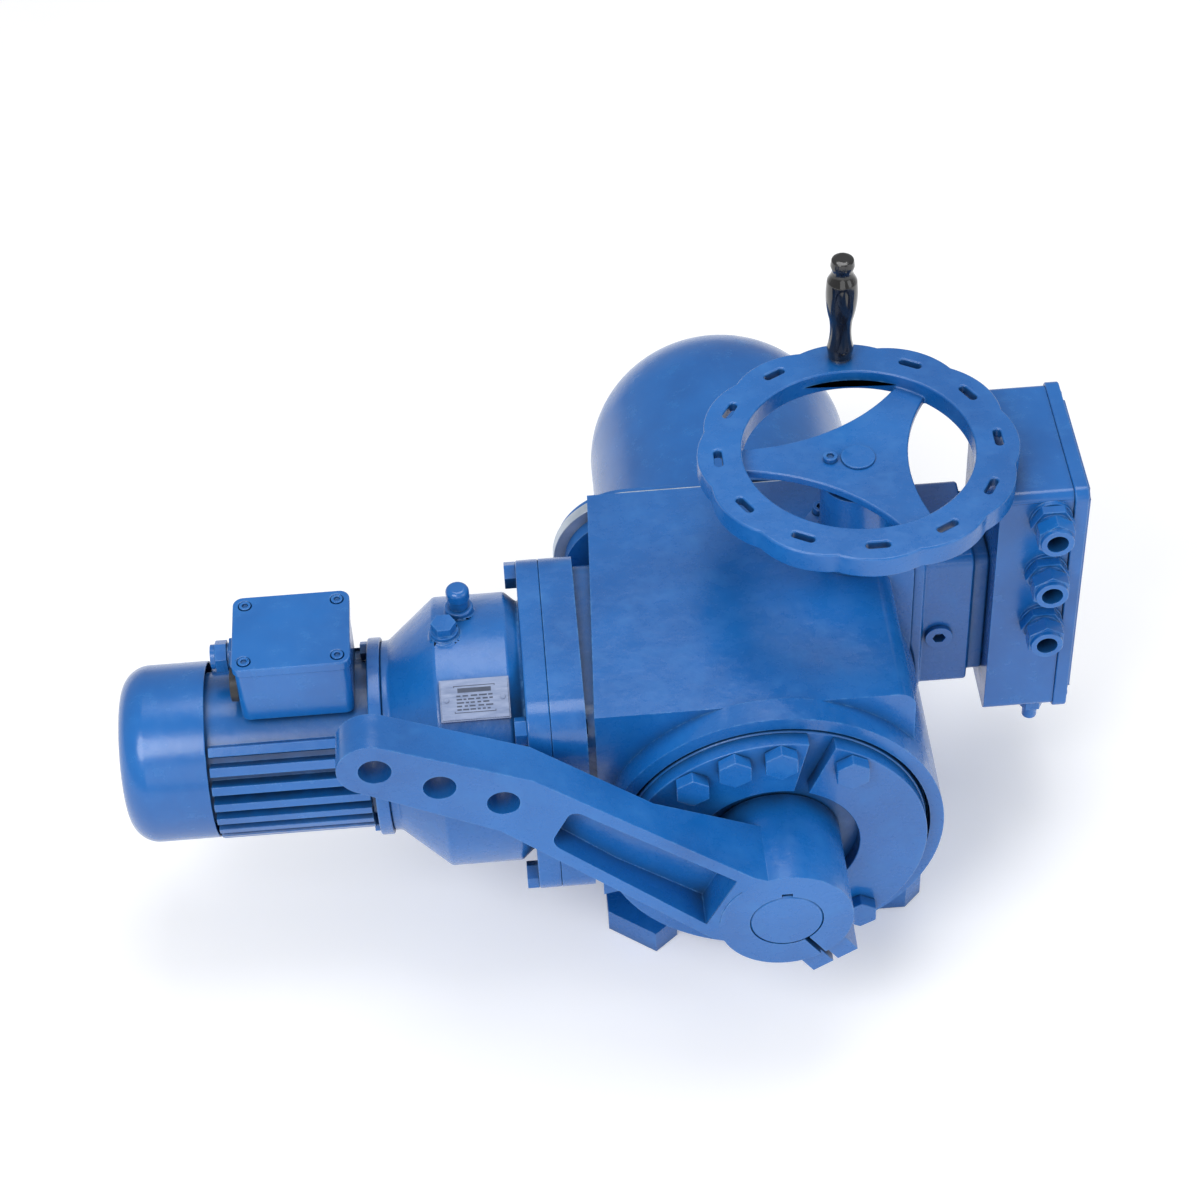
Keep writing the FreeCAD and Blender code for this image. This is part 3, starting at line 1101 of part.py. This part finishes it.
# ---------------------------------------------------------------- bearings and seal
def output_bearings():
    return (bearing("y", OUT_AT, SHAFT_R, 50, RING_FRONT + 10, RING_FRONT + 28)
            + bearing("y", OUT_AT, REAR_JOURNAL_R, 40, BODY_BACK - 18, BODY_BACK))


def worm_bearings():
    return (bearing("x", WORM_AT, 15, 31, FLANGE_LEFT, FLANGE_LEFT + 16)
            + bearing("x", WORM_AT, 10, 21, 54, 66)
            + bearing("x", WORM_AT, MOTOR_JOURNAL_R, 17.5, DIAPHRAGM[0] + 3, DIAPHRAGM[1]))


def motor_bearings():
    return (bearing("x", DRIVE_AT, MOTOR_JOURNAL_R, 20, -316, -304)
            + bearing("x", DRIVE_AT, MOTOR_JOURNAL_R, 17.5, DIAPHRAGM[0] + 3, DIAPHRAGM[1])
            + bearing("x", DRIVE_AT, MOTOR_JOURNAL_R, 17.5, FRAME_START, FRAME_START + 10))


def shaft_seal():
    ring = tube("y", OUT_AT, 40, SHAFT_R + 0.3, RING_FRONT, RING_FRONT + 8)
    return ring.cut(tube("y", OUT_AT, 37, SHAFT_R + 3, RING_FRONT + 3, RING_FRONT + 9))


PARTS = {
    "gear_housing": gear_housing,
    "front_cover": front_cover,
    "left_stop_segment": lambda: stop_segment(78, 189, LEFT_BOLTS),
    "right_stop_segment": lambda: stop_segment(-55, 68, RIGHT_BOLTS),
    "stop_segment_bolts": stop_bolts,
    "bell_housing": bell_housing,
    "bell_breather": breather,
    "bell_oil_plug": oil_plug,
    "bell_flange_bolts": flange_bolts,
    "nameplate": nameplate,
    "motor_flange": motor_flange,
    "motor_flange_bolts": motor_bolts,
    "motor_frame": motor_frame,
    "motor_stator": stator,
    "motor_windings": windings,
    "motor_shaft": rotor_shaft,
    "motor_rotor": rotor_core,
    "cooling_fan": cooling_fan,
    "fan_cover": fan_cover,
    "motor_terminal_box": terminal_box,
    "motor_terminal_lid": terminal_lid,
    "motor_terminal_screws": terminal_screws,
    "motor_terminal_block": terminal_block,
    "motor_cable_gland": motor_gland,
    "motor_blanking_plug": motor_blank,
    "hood_mounting_ring": hood_ring,
    "rear_hood": rear_hood,
    "hood_screws": hood_screws,
    "sensor_plate": sensor_plate,
    "sensor_shaft": sensor_shaft,
    "position_sensor": position_sensor,
    "control_board": control_board,
    "output_shaft": output_shaft,
    "output_shaft_keys": shaft_keys,
    "worm_wheel": worm_wheel,
    "feedback_gear": feedback_gear,
    "lever_arm": lever_arm,
    "lever_clamp_screw": clamp_screw,
    "worm_shaft": worm_shaft,
    "first_stage_gear": first_stage_gear,
    "cross_shaft": cross_shaft,
    "cross_shaft_bracket": cross_bracket,
    "hand_drive_bushes": hand_bushes,
    "handwheel_pedestal": pedestal,
    "pedestal_screws": pedestal_screws,
    "handwheel_shaft": handwheel_shaft,
    "handwheel": handwheel,
    "handwheel_cap_and_screw": handwheel_cap,
    "grip_spindle": grip_spindle,
    "crank_handle": crank_handle,
    "connection_neck": connection_neck,
    "connection_box": connection_box,
    "connection_lid": connection_lid,
    "connection_lid_screws": lid_screws,
    "connection_glands": cable_glands,
    "connection_terminals": terminal_strip,
    "connection_plugs": box_plugs,
    "output_shaft_bearings": output_bearings,
    "output_shaft_seal": shaft_seal,
    "worm_and_motor_bearings": lambda: worm_bearings() + motor_bearings(),
}

for name, make in PARTS.items():
    save(name, make())
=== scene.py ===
import json
import math
import random

import bmesh
import bpy
from mathutils import Matrix, Vector


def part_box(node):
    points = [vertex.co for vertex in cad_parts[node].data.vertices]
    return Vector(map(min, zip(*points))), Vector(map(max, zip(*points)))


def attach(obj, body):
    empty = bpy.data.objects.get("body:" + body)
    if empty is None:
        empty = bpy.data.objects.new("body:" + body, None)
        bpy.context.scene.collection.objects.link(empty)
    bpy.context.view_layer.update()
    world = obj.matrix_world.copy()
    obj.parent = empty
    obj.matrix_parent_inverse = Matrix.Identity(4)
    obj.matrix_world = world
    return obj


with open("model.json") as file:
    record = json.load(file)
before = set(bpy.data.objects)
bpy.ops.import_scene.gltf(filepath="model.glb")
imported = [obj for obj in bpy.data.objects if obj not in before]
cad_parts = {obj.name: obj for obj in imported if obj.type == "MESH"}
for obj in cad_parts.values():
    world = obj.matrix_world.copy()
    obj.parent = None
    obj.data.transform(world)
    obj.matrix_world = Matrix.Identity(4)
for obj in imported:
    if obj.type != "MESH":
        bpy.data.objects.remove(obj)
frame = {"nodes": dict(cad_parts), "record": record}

random.seed(7)

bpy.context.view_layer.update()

MM = 0.001
NODES = frame["nodes"]
SLOT_OF = {s["node"]: s["material_slot"] for s in frame["record"]["subparts"]}

# Paint and print colours, linear RGB.
BLUE = (0.008, 0.135, 0.45)
BLUE_DEEP = (0.005, 0.098, 0.35)
BLUE_PALE = (0.022, 0.19, 0.52)
# Lightened edges: partly wear, partly painted highlight.
BLUE_WORN_AND_LIT = (0.10, 0.30, 0.60)
# Painted shade in corners and recesses.
SHADE_BLUE = (0.004, 0.020, 0.055)
INK = (0.045, 0.06, 0.10)


# ---------------------------------------------------------------- node-building helpers

def new_material(name):
    """An empty node material and its Principled shader."""
    mat = bpy.data.materials.new(name)
    mat.use_nodes = True
    return mat, mat.node_tree.nodes["Principled BSDF"]


def add(mat, kind, **settings):
    """Adds a node of a kind, with its properties set by name."""
    node = mat.node_tree.nodes.new(kind)
    for key, value in settings.items():
        setattr(node, key, value)
    return node


def link(mat, source, target):
    mat.node_tree.links.new(source, target)


def coordinates(mat):
    return add(mat, "ShaderNodeTexCoord").outputs["Object"]


def noise(mat, scale, detail, rough=0.55, stretch=None):
    """A noise texture in object space; scale is in features per metre."""
    node = add(mat, "ShaderNodeTexNoise")
    node.inputs["Scale"].default_value = scale
    node.inputs["Detail"].default_value = detail
    node.inputs["Roughness"].default_value = rough
    vector = coordinates(mat)
    if stretch:
        mapping = add(mat, "ShaderNodeMapping")
        mapping.inputs["Scale"].default_value = stretch
        link(mat, vector, mapping.inputs["Vector"])
        vector = mapping.outputs["Vector"]
    link(mat, vector, node.inputs["Vector"])
    return node.outputs["Fac"]


def remap(mat, value, low, high, to_low=0.0, to_high=1.0):
    node = add(mat, "ShaderNodeMapRange")
    node.inputs["From Min"].default_value = low
    node.inputs["From Max"].default_value = high
    node.inputs["To Min"].default_value = to_low
    node.inputs["To Max"].default_value = to_high
    link(mat, value, node.inputs["Value"])
    return node.outputs["Result"]


def math_node(mat, operation, first, second):
    """Combines an output with a second output or with a number."""
    node = add(mat, "ShaderNodeMath", operation=operation)
    link(mat, first, node.inputs[0])
    if isinstance(second, float):
        node.inputs[1].default_value = second
    else:
        link(mat, second, node.inputs[1])
    return node.outputs["Value"]


def mix_colour(mat, factor, first, second):
    """Mixes two colours, each an output or a linear RGB tuple."""
    node = add(mat, "ShaderNodeMix", data_type="RGBA")
    sockets = [s for s in node.inputs if s.type == "RGBA"]
    for socket, value in zip(sockets, (first, second)):
        if isinstance(value, tuple):
            socket.default_value = (*value, 1.0)
        else:
            link(mat, value, socket)
    link(mat, factor, node.inputs["Factor"])
    return next(s for s in node.outputs if s.type == "RGBA")


def edge_mask(mat, radius):
    """1 near sharp edges, 0 on flat faces."""
    rounded = add(mat, "ShaderNodeBevel", samples=4)
    rounded.inputs["Radius"].default_value = radius
    plain = add(mat, "ShaderNodeNewGeometry")
    dot = add(mat, "ShaderNodeVectorMath", operation="DOT_PRODUCT")
    link(mat, rounded.outputs["Normal"], dot.inputs[0])
    link(mat, plain.outputs["Normal"], dot.inputs[1])
    return remap(mat, dot.outputs["Value"], 0.995, 0.86)


def painted_shade_mask(mat, distance):
    """1 in corners and recesses, 0 in the open: where shade is painted."""
    node = add(mat, "ShaderNodeAmbientOcclusion", samples=6)
    node.inputs["Distance"].default_value = distance
    return remap(mat, node.outputs["AO"], 0.72, 0.30)


def bump_chain(mat, shader, layers):
    """Stacks bump maps on a shader; each layer is (height output, strength, distance)."""
    normal = None
    for height, strength, distance in layers:
        node = add(mat, "ShaderNodeBump")
        node.inputs["Strength"].default_value = strength
        node.inputs["Distance"].default_value = distance
        link(mat, height, node.inputs["Height"])
        if normal is not None:
            link(mat, normal, node.inputs["Normal"])
        normal = node.outputs["Normal"]
    link(mat, normal, shader.inputs["Normal"])


# ---------------------------------------------------------------- materials

def enamel(name, cast, edge_wear_and_highlight=0.55, gloss=(0.20, 0.36)):
    """Blue brushed-on machine enamel, with painted shade in recesses and edges lightened partly by wear and
    partly as a painted highlight. cast is the strength of the sand-cast grain under it.
    """
    mat, shader = new_material(name)
    broad = noise(mat, 9.0, 5.0)
    mottled = noise(mat, 60.0, 6.0, 0.62)
    fine = noise(mat, 700.0, 3.0)
    colour = mix_colour(mat, remap(mat, broad, 0.35, 0.65), BLUE_DEEP, BLUE)
    colour = mix_colour(mat, remap(mat, mottled, 0.52, 0.78, 0.0, 0.35), colour, BLUE_PALE)
    # Painted shade: corners and recesses darker and rougher, varied at random.
    recess_shade = math_node(mat, "MULTIPLY", painted_shade_mask(mat, 0.022), remap(mat, mottled, 0.25, 0.6, 0.45, 0.85))
    colour = mix_colour(mat, recess_shade, colour, SHADE_BLUE)
    # Edges lightened, partly by wear and partly as a painted highlight.
    edges = edge_mask(mat, 0.0022)
    scuffs = remap(mat, noise(mat, 140.0, 6.0, 0.7), 0.47, 0.60, 0.12, 1.0)
    worn_and_lit = math_node(mat, "MULTIPLY", math_node(mat, "MULTIPLY", edges, scuffs), edge_wear_and_highlight)
    colour = mix_colour(mat, worn_and_lit, colour, BLUE_WORN_AND_LIT)
    link(mat, colour, shader.inputs["Base Color"])
    rough = remap(mat, mottled, 0.3, 0.7, *gloss)
    rough = math_node(mat, "ADD", rough, math_node(mat, "MULTIPLY", recess_shade, 0.25))
    link(mat, rough, shader.inputs["Roughness"])
    shader.inputs["IOR"].default_value = 1.52
    shader.inputs["Coat Weight"].default_value = 0.18
    shader.inputs["Coat Roughness"].default_value = 0.14
    bump_chain(mat, shader, [
        (noise(mat, 130.0, 6.0, 0.6), cast, 0.0012),
        (noise(mat, 38.0, 3.0), cast * 0.8, 0.003),
        (fine, 0.10, 0.0002),
    ])
    return mat


def metal(name, low, high, rough, grain, metallic=1.0):
    """Turned or cast bare metal: two tones, streaked by grain (a stretch per axis), with painted shade in
    recesses.
    """
    mat, shader = new_material(name)
    streaks = noise(mat, 60.0, 5.0, 0.6, grain)
    colour = mix_colour(mat, remap(mat, streaks, 0.3, 0.7), low, high)
    # Painted shade: corners and recesses darkened to near black.
    recess_shade = painted_shade_mask(mat, 0.012)
    colour = mix_colour(mat, math_node(mat, "MULTIPLY", recess_shade, 0.7), colour, (0.02, 0.02, 0.022))
    link(mat, colour, shader.inputs["Base Color"])
    link(mat, remap(mat, streaks, 0.25, 0.75, *rough), shader.inputs["Roughness"])
    shader.inputs["Metallic"].default_value = metallic
    bump_chain(mat, shader, [(streaks, 0.15, 0.0003), (noise(mat, 600.0, 3.0), 0.08, 0.0001)])
    return mat


def plastic(name, low, high, rough, grain_scale, grain, coat=0.0):
    """Moulded plastic or rubber with a fine skin and a painted highlight along its edges."""
    mat, shader = new_material(name)
    patches = noise(mat, 45.0, 5.0)
    colour = mix_colour(mat, remap(mat, patches, 0.35, 0.65), low, high)
    # Painted highlight: sharp edges lighter.
    edges = math_node(mat, "MULTIPLY", edge_mask(mat, 0.0012), 0.25)
    colour = mix_colour(mat, edges, colour, tuple(min(1.0, c * 3 + 0.03) for c in high))
    link(mat, colour, shader.inputs["Base Color"])
    link(mat, remap(mat, patches, 0.3, 0.7, *rough), shader.inputs["Roughness"])
    shader.inputs["Coat Weight"].default_value = coat
    shader.inputs["Coat Roughness"].default_value = 0.06
    bump_chain(mat, shader, [(noise(mat, grain_scale, 3.0), grain, 0.0002)])
    return mat


FINISH = {
    "blue_paint": enamel("blue_cast_enamel", cast=0.20),
    "blue_casing": enamel("blue_smooth_enamel", cast=0.07, edge_wear_and_highlight=0.45, gloss=(0.18, 0.30)),
    "grey_ring": metal("pale_cast_aluminium", (0.42, 0.50, 0.60), (0.58, 0.64, 0.72), (0.30, 0.48),
                       (1, 1, 1), 0.6),
    "plate": metal("etched_plate", (0.20, 0.26, 0.42), (0.32, 0.38, 0.54), (0.30, 0.46), (1, 6, 6), 0.5),
    "steel": metal("ground_steel", (0.42, 0.43, 0.45), (0.62, 0.63, 0.65), (0.22, 0.38), (1, 1, 8)),
    "bronze": metal("cast_bronze", (0.48, 0.30, 0.12), (0.66, 0.44, 0.20), (0.28, 0.42), (1, 1, 1)),
    "iron": metal("bare_iron", (0.14, 0.14, 0.15), (0.24, 0.24, 0.26), (0.40, 0.60), (8, 1, 1)),
    "copper": metal("lacquered_copper", (0.50, 0.20, 0.09), (0.66, 0.32, 0.16), (0.25, 0.40), (1, 8, 8)),
    "black_plastic": plastic("glossy_black_plastic", (0.004, 0.004, 0.004), (0.010, 0.010, 0.011),
                             (0.08, 0.22), 250.0, 0.06, coat=0.6),
    "dark_plastic": plastic("dark_moulded_plastic", (0.012, 0.013, 0.016), (0.024, 0.025, 0.03), (0.38, 0.55),
                            900.0, 0.25),
    "board": plastic("green_circuit_board", (0.008, 0.06, 0.022), (0.014, 0.10, 0.04), (0.25, 0.40),
                     500.0, 0.1),
    "seal_rubber": plastic("black_rubber", (0.010, 0.010, 0.010), (0.020, 0.020, 0.021), (0.50, 0.70),
                           700.0, 0.3),
}

PAINTED_OVER = {"output_shaft": "blue_paint"}   # the shaft's end was painted with the lever

for node, slot in SLOT_OF.items():
    NODES[node].data.materials.clear()
    NODES[node].data.materials.append(FINISH[PAINTED_OVER.get(node, slot)])


# ---------------------------------------------------------------- softened edges on CAD pieces

WELD_GAP = 0.004         # mm; joins the vertices that the CAD export splits
FLAT_ANGLE = 0.6         # degrees between faces that count as one
BEVEL_ANGLE = 32         # degrees; sharper edges are rounded
BEVEL_SEGMENTS = 3
NORMAL_WEIGHT = 80       # 50 is neutral; above it, large faces count for more in the shading


def soften(piece, width, clamp):
    """Rounds a piece's sharp edges by up to width (mm) without touching its mesh data."""
    weld = piece.modifiers.new("weld", "WELD")
    weld.merge_threshold = WELD_GAP * MM
    flat = piece.modifiers.new("flat", "DECIMATE")
    flat.decimate_type = "DISSOLVE"
    flat.angle_limit = math.radians(FLAT_ANGLE)
    bevel = piece.modifiers.new("round", "BEVEL")
    bevel.width = width * MM
    bevel.segments = BEVEL_SEGMENTS
    bevel.limit_method = "ANGLE"
    bevel.angle_limit = math.radians(BEVEL_ANGLE)
    bevel.use_clamp_overlap = clamp
    bevel.miter_outer = "MITER_ARC"
    normals = piece.modifiers.new("normals", "WEIGHTED_NORMAL")
    normals.keep_sharp = False
    normals.weight = NORMAL_WEIGHT


# Largest width of the rounding in mm, and the pieces that get it.
ROUNDING = {
    2.2: ["connection_neck"],
    1.6: ["bell_housing", "front_cover", "handwheel"],
    1.2: ["gear_housing", "motor_terminal_box", "motor_terminal_lid", "connection_lid", "motor_flange"],
    0.8: ["left_stop_segment", "right_stop_segment", "fan_cover", "rear_hood", "hood_mounting_ring",
          "stop_segment_bolts", "crank_handle", "output_shaft"],
    0.5: ["motor_frame", "bell_flange_bolts", "motor_flange_bolts", "bell_breather", "bell_oil_plug",
          "motor_terminal_screws", "motor_cable_gland", "motor_blanking_plug", "hood_screws",
          "pedestal_screws", "connection_lid_screws", "connection_glands", "connection_plugs",
          "lever_clamp_screw", "handwheel_cap_and_screw"],
    0.4: ["lever_arm", "connection_box", "handwheel_pedestal"],
}
# Without clamping, rounding throws corners of these pieces clear of their surface.
CLAMPED = {"gear_housing", "output_shaft"}
for width, names in ROUNDING.items():
    for name in names:
        soften(NODES[name], width, name in CLAMPED)


# ---------------------------------------------------------------- print on the nameplate

RIVET_PROUD = 0.8        # mm a rivet stands above the plate
PRINT_PROUD = 0.05       # mm
PRINT_ROWS = 5
PRINT_LINE = 0.6         # mm, width of the border
PRINT_HALF = (15.5, 10.5)   # half size of the printed field, mm
PRINT_MARGIN = 2.0       # mm inside the printed field
TITLE_HEIGHT = 3.5       # mm
TITLE_INSET = 3.0        # mm
TITLE_GAP = 0.5          # mm
BLOCK_LENGTHS = (2.0, 6.0)  # mm
BLOCK_GAPS = (0.8, 2.2)  # mm
BLOCK_SHARE = 0.45       # of a row's pitch


def plate_slab(bm, place, u0, u1, v0, v1):
    """One raised patch: u runs along the motor, v round the bell, both in mm from the plate's centre."""
    corners = ((u0, v0), (u1, v0), (u1, v1), (u0, v1))
    low = [bm.verts.new(place(u, v, 0.0)) for u, v in corners]
    high = [bm.verts.new(place(u, v, PRINT_PROUD)) for u, v in corners]
    bm.faces.new(high)
    for i in range(4):
        k = (i + 1) % 4
        bm.faces.new((low[i], low[k], high[k], high[i]))


def plate_print():
    """Printed border and rows of plain blocks on the nameplate; there are no letters."""
    low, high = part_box("nameplate")
    pivot = next(j for j in frame["record"]["behaviour"]["joints"] if j["name"] == "rotor_spin")["pos_m"]
    centre = (low + high) / 2
    turn = math.atan2(pivot[1] - centre.y, centre.z - pivot[2])
    reach = max(math.hypot(v.co.y - pivot[1], v.co.z - pivot[2]) for v in NODES["nameplate"].data.vertices)
    radius = reach - RIVET_PROUD * MM

    def place(u, v, lift):
        angle = turn - v * MM / radius
        out = radius + lift * MM
        return (centre.x + u * MM, pivot[1] - out * math.sin(angle), pivot[2] + out * math.cos(angle))

    bm = bmesh.new()
    du, dv = PRINT_HALF
    for v in (-dv, dv - PRINT_LINE):
        plate_slab(bm, place, -du, du, v, v + PRINT_LINE)
    for u in (-du, du - PRINT_LINE):
        plate_slab(bm, place, u, u + PRINT_LINE, -dv + PRINT_LINE, dv - PRINT_LINE)
    title_top = dv - PRINT_MARGIN
    title_low = title_top - TITLE_HEIGHT
    plate_slab(bm, place, -du + TITLE_INSET, du - TITLE_INSET, title_low, title_top)
    pitch = (title_low - TITLE_GAP - (-dv + PRINT_MARGIN)) / PRINT_ROWS
    for row in range(PRINT_ROWS):
        v = -dv + PRINT_MARGIN + pitch * row
        u = -du + PRINT_MARGIN
        while u < du - 2 * PRINT_MARGIN:
            length = random.uniform(*BLOCK_LENGTHS)
            plate_slab(bm, place, u, min(u + length, du - PRINT_MARGIN), v, v + pitch * BLOCK_SHARE)
            u += length + random.uniform(*BLOCK_GAPS)
    mesh = bpy.data.meshes.new("nameplate_print")
    bm.to_mesh(mesh)
    bm.free()
    ink = plastic("plate_ink", INK, tuple(c * 1.4 for c in INK), (0.35, 0.55), 900.0, 0.1)
    mesh.materials.append(ink)
    piece = bpy.data.objects.new("nameplate_print", mesh)
    bpy.context.scene.collection.objects.link(piece)
    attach(piece, "housing")


plate_print()


# ---------------------------------------------------------------- floor, light, camera

FLOOR_HALF = 9.0         # m
FLOOR_DROP = -0.0005     # m; clear of the feet, so that the two faces don't flicker
FLOOR_GLOW = 0.22

LIGHT_AIM = (0.0, 0.0, 0.15)    # m
WORLD_STRENGTH = 0.48

CAMERA_AIM = (-0.118, 0.013, 0.274)     # m
CAMERA_DISTANCE = 2.15   # m
CAMERA_AZIMUTH = math.radians(-2.0)
CAMERA_ELEVATION = math.radians(45.0)
CAMERA_ROLL = math.radians(3.0)
CAMERA_LENS = 84.36      # mm
SENSOR_WIDTH = 36.0      # mm


def backdrop():
    """A wide flat white floor, just under the feet."""
    mat, shader = new_material("studio_paper")
    patches = remap(mat, noise(mat, 3.0, 3.0), 0.3, 0.7)
    colour = mix_colour(mat, patches, (0.86, 0.86, 0.86), (0.90, 0.90, 0.90))
    link(mat, colour, shader.inputs["Base Color"])
    shader.inputs["Roughness"].default_value = 0.85
    shader.inputs["Emission Color"].default_value = (1.0, 1.0, 1.0, 1.0)
    shader.inputs["Emission Strength"].default_value = FLOOR_GLOW
    mesh = bpy.data.meshes.new("floor")
    half = FLOOR_HALF
    corners = [(-half, -half, 0), (half, -half, 0), (half, half, 0), (-half, half, 0)]
    mesh.from_pydata(corners, [], [(0, 1, 2, 3)])
    mesh.materials.append(mat)
    floor = bpy.data.objects.new("floor", mesh)
    bpy.context.scene.collection.objects.link(floor)
    floor.location.z = FLOOR_DROP


def area_light(name, position, target, size, power, tint=(1.0, 1.0, 1.0)):
    lamp = bpy.data.lights.new(name, "AREA")
    lamp.shape = "DISK"
    lamp.size = size
    lamp.energy = power
    lamp.color = tint
    piece = bpy.data.objects.new(name, lamp)
    bpy.context.scene.collection.objects.link(piece)
    piece.location = position
    piece.rotation_euler = (Vector(target) - Vector(position)).to_track_quat("-Z", "Y").to_euler()


def lights():
    area_light("key", (-1.3, -1.5, 2.3), LIGHT_AIM, 1.5, 34)
    area_light("fill", (1.9, -1.2, 1.3), LIGHT_AIM, 1.8, 12, (0.95, 0.98, 1.0))
    area_light("top", (0.1, 0.7, 2.6), LIGHT_AIM, 1.7, 24)
    area_light("front", (-0.1, -2.2, 0.9), LIGHT_AIM, 1.6, 8)
    world = bpy.data.worlds.new("studio")
    world.use_nodes = True
    background = world.node_tree.nodes["Background"]
    background.inputs["Color"].default_value = (0.97, 0.98, 1.0, 1.0)
    background.inputs["Strength"].default_value = WORLD_STRENGTH
    bpy.context.scene.world = world
    bpy.context.scene.view_settings.view_transform = "Standard"


def camera():
    """The photograph's viewing angle: 45 degrees down, 2 degrees round to the left, rolled by 3."""
    level = math.cos(CAMERA_ELEVATION)
    back = Vector((math.sin(CAMERA_AZIMUTH) * level, -math.cos(CAMERA_AZIMUTH) * level,
                   math.sin(CAMERA_ELEVATION)))
    data = bpy.data.cameras.new("camera")
    data.lens = CAMERA_LENS
    data.sensor_width = SENSOR_WIDTH
    piece = bpy.data.objects.new("camera", data)
    bpy.context.scene.collection.objects.link(piece)
    piece.rotation_mode = "QUATERNION"
    upright = (-back).to_track_quat("-Z", "Y")
    piece.rotation_quaternion = upright @ Matrix.Rotation(-CAMERA_ROLL, 3, "Z").to_quaternion()
    piece.location = Vector(CAMERA_AIM) + back * CAMERA_DISTANCE
    bpy.context.scene.camera = piece


backdrop()
lights()
camera()
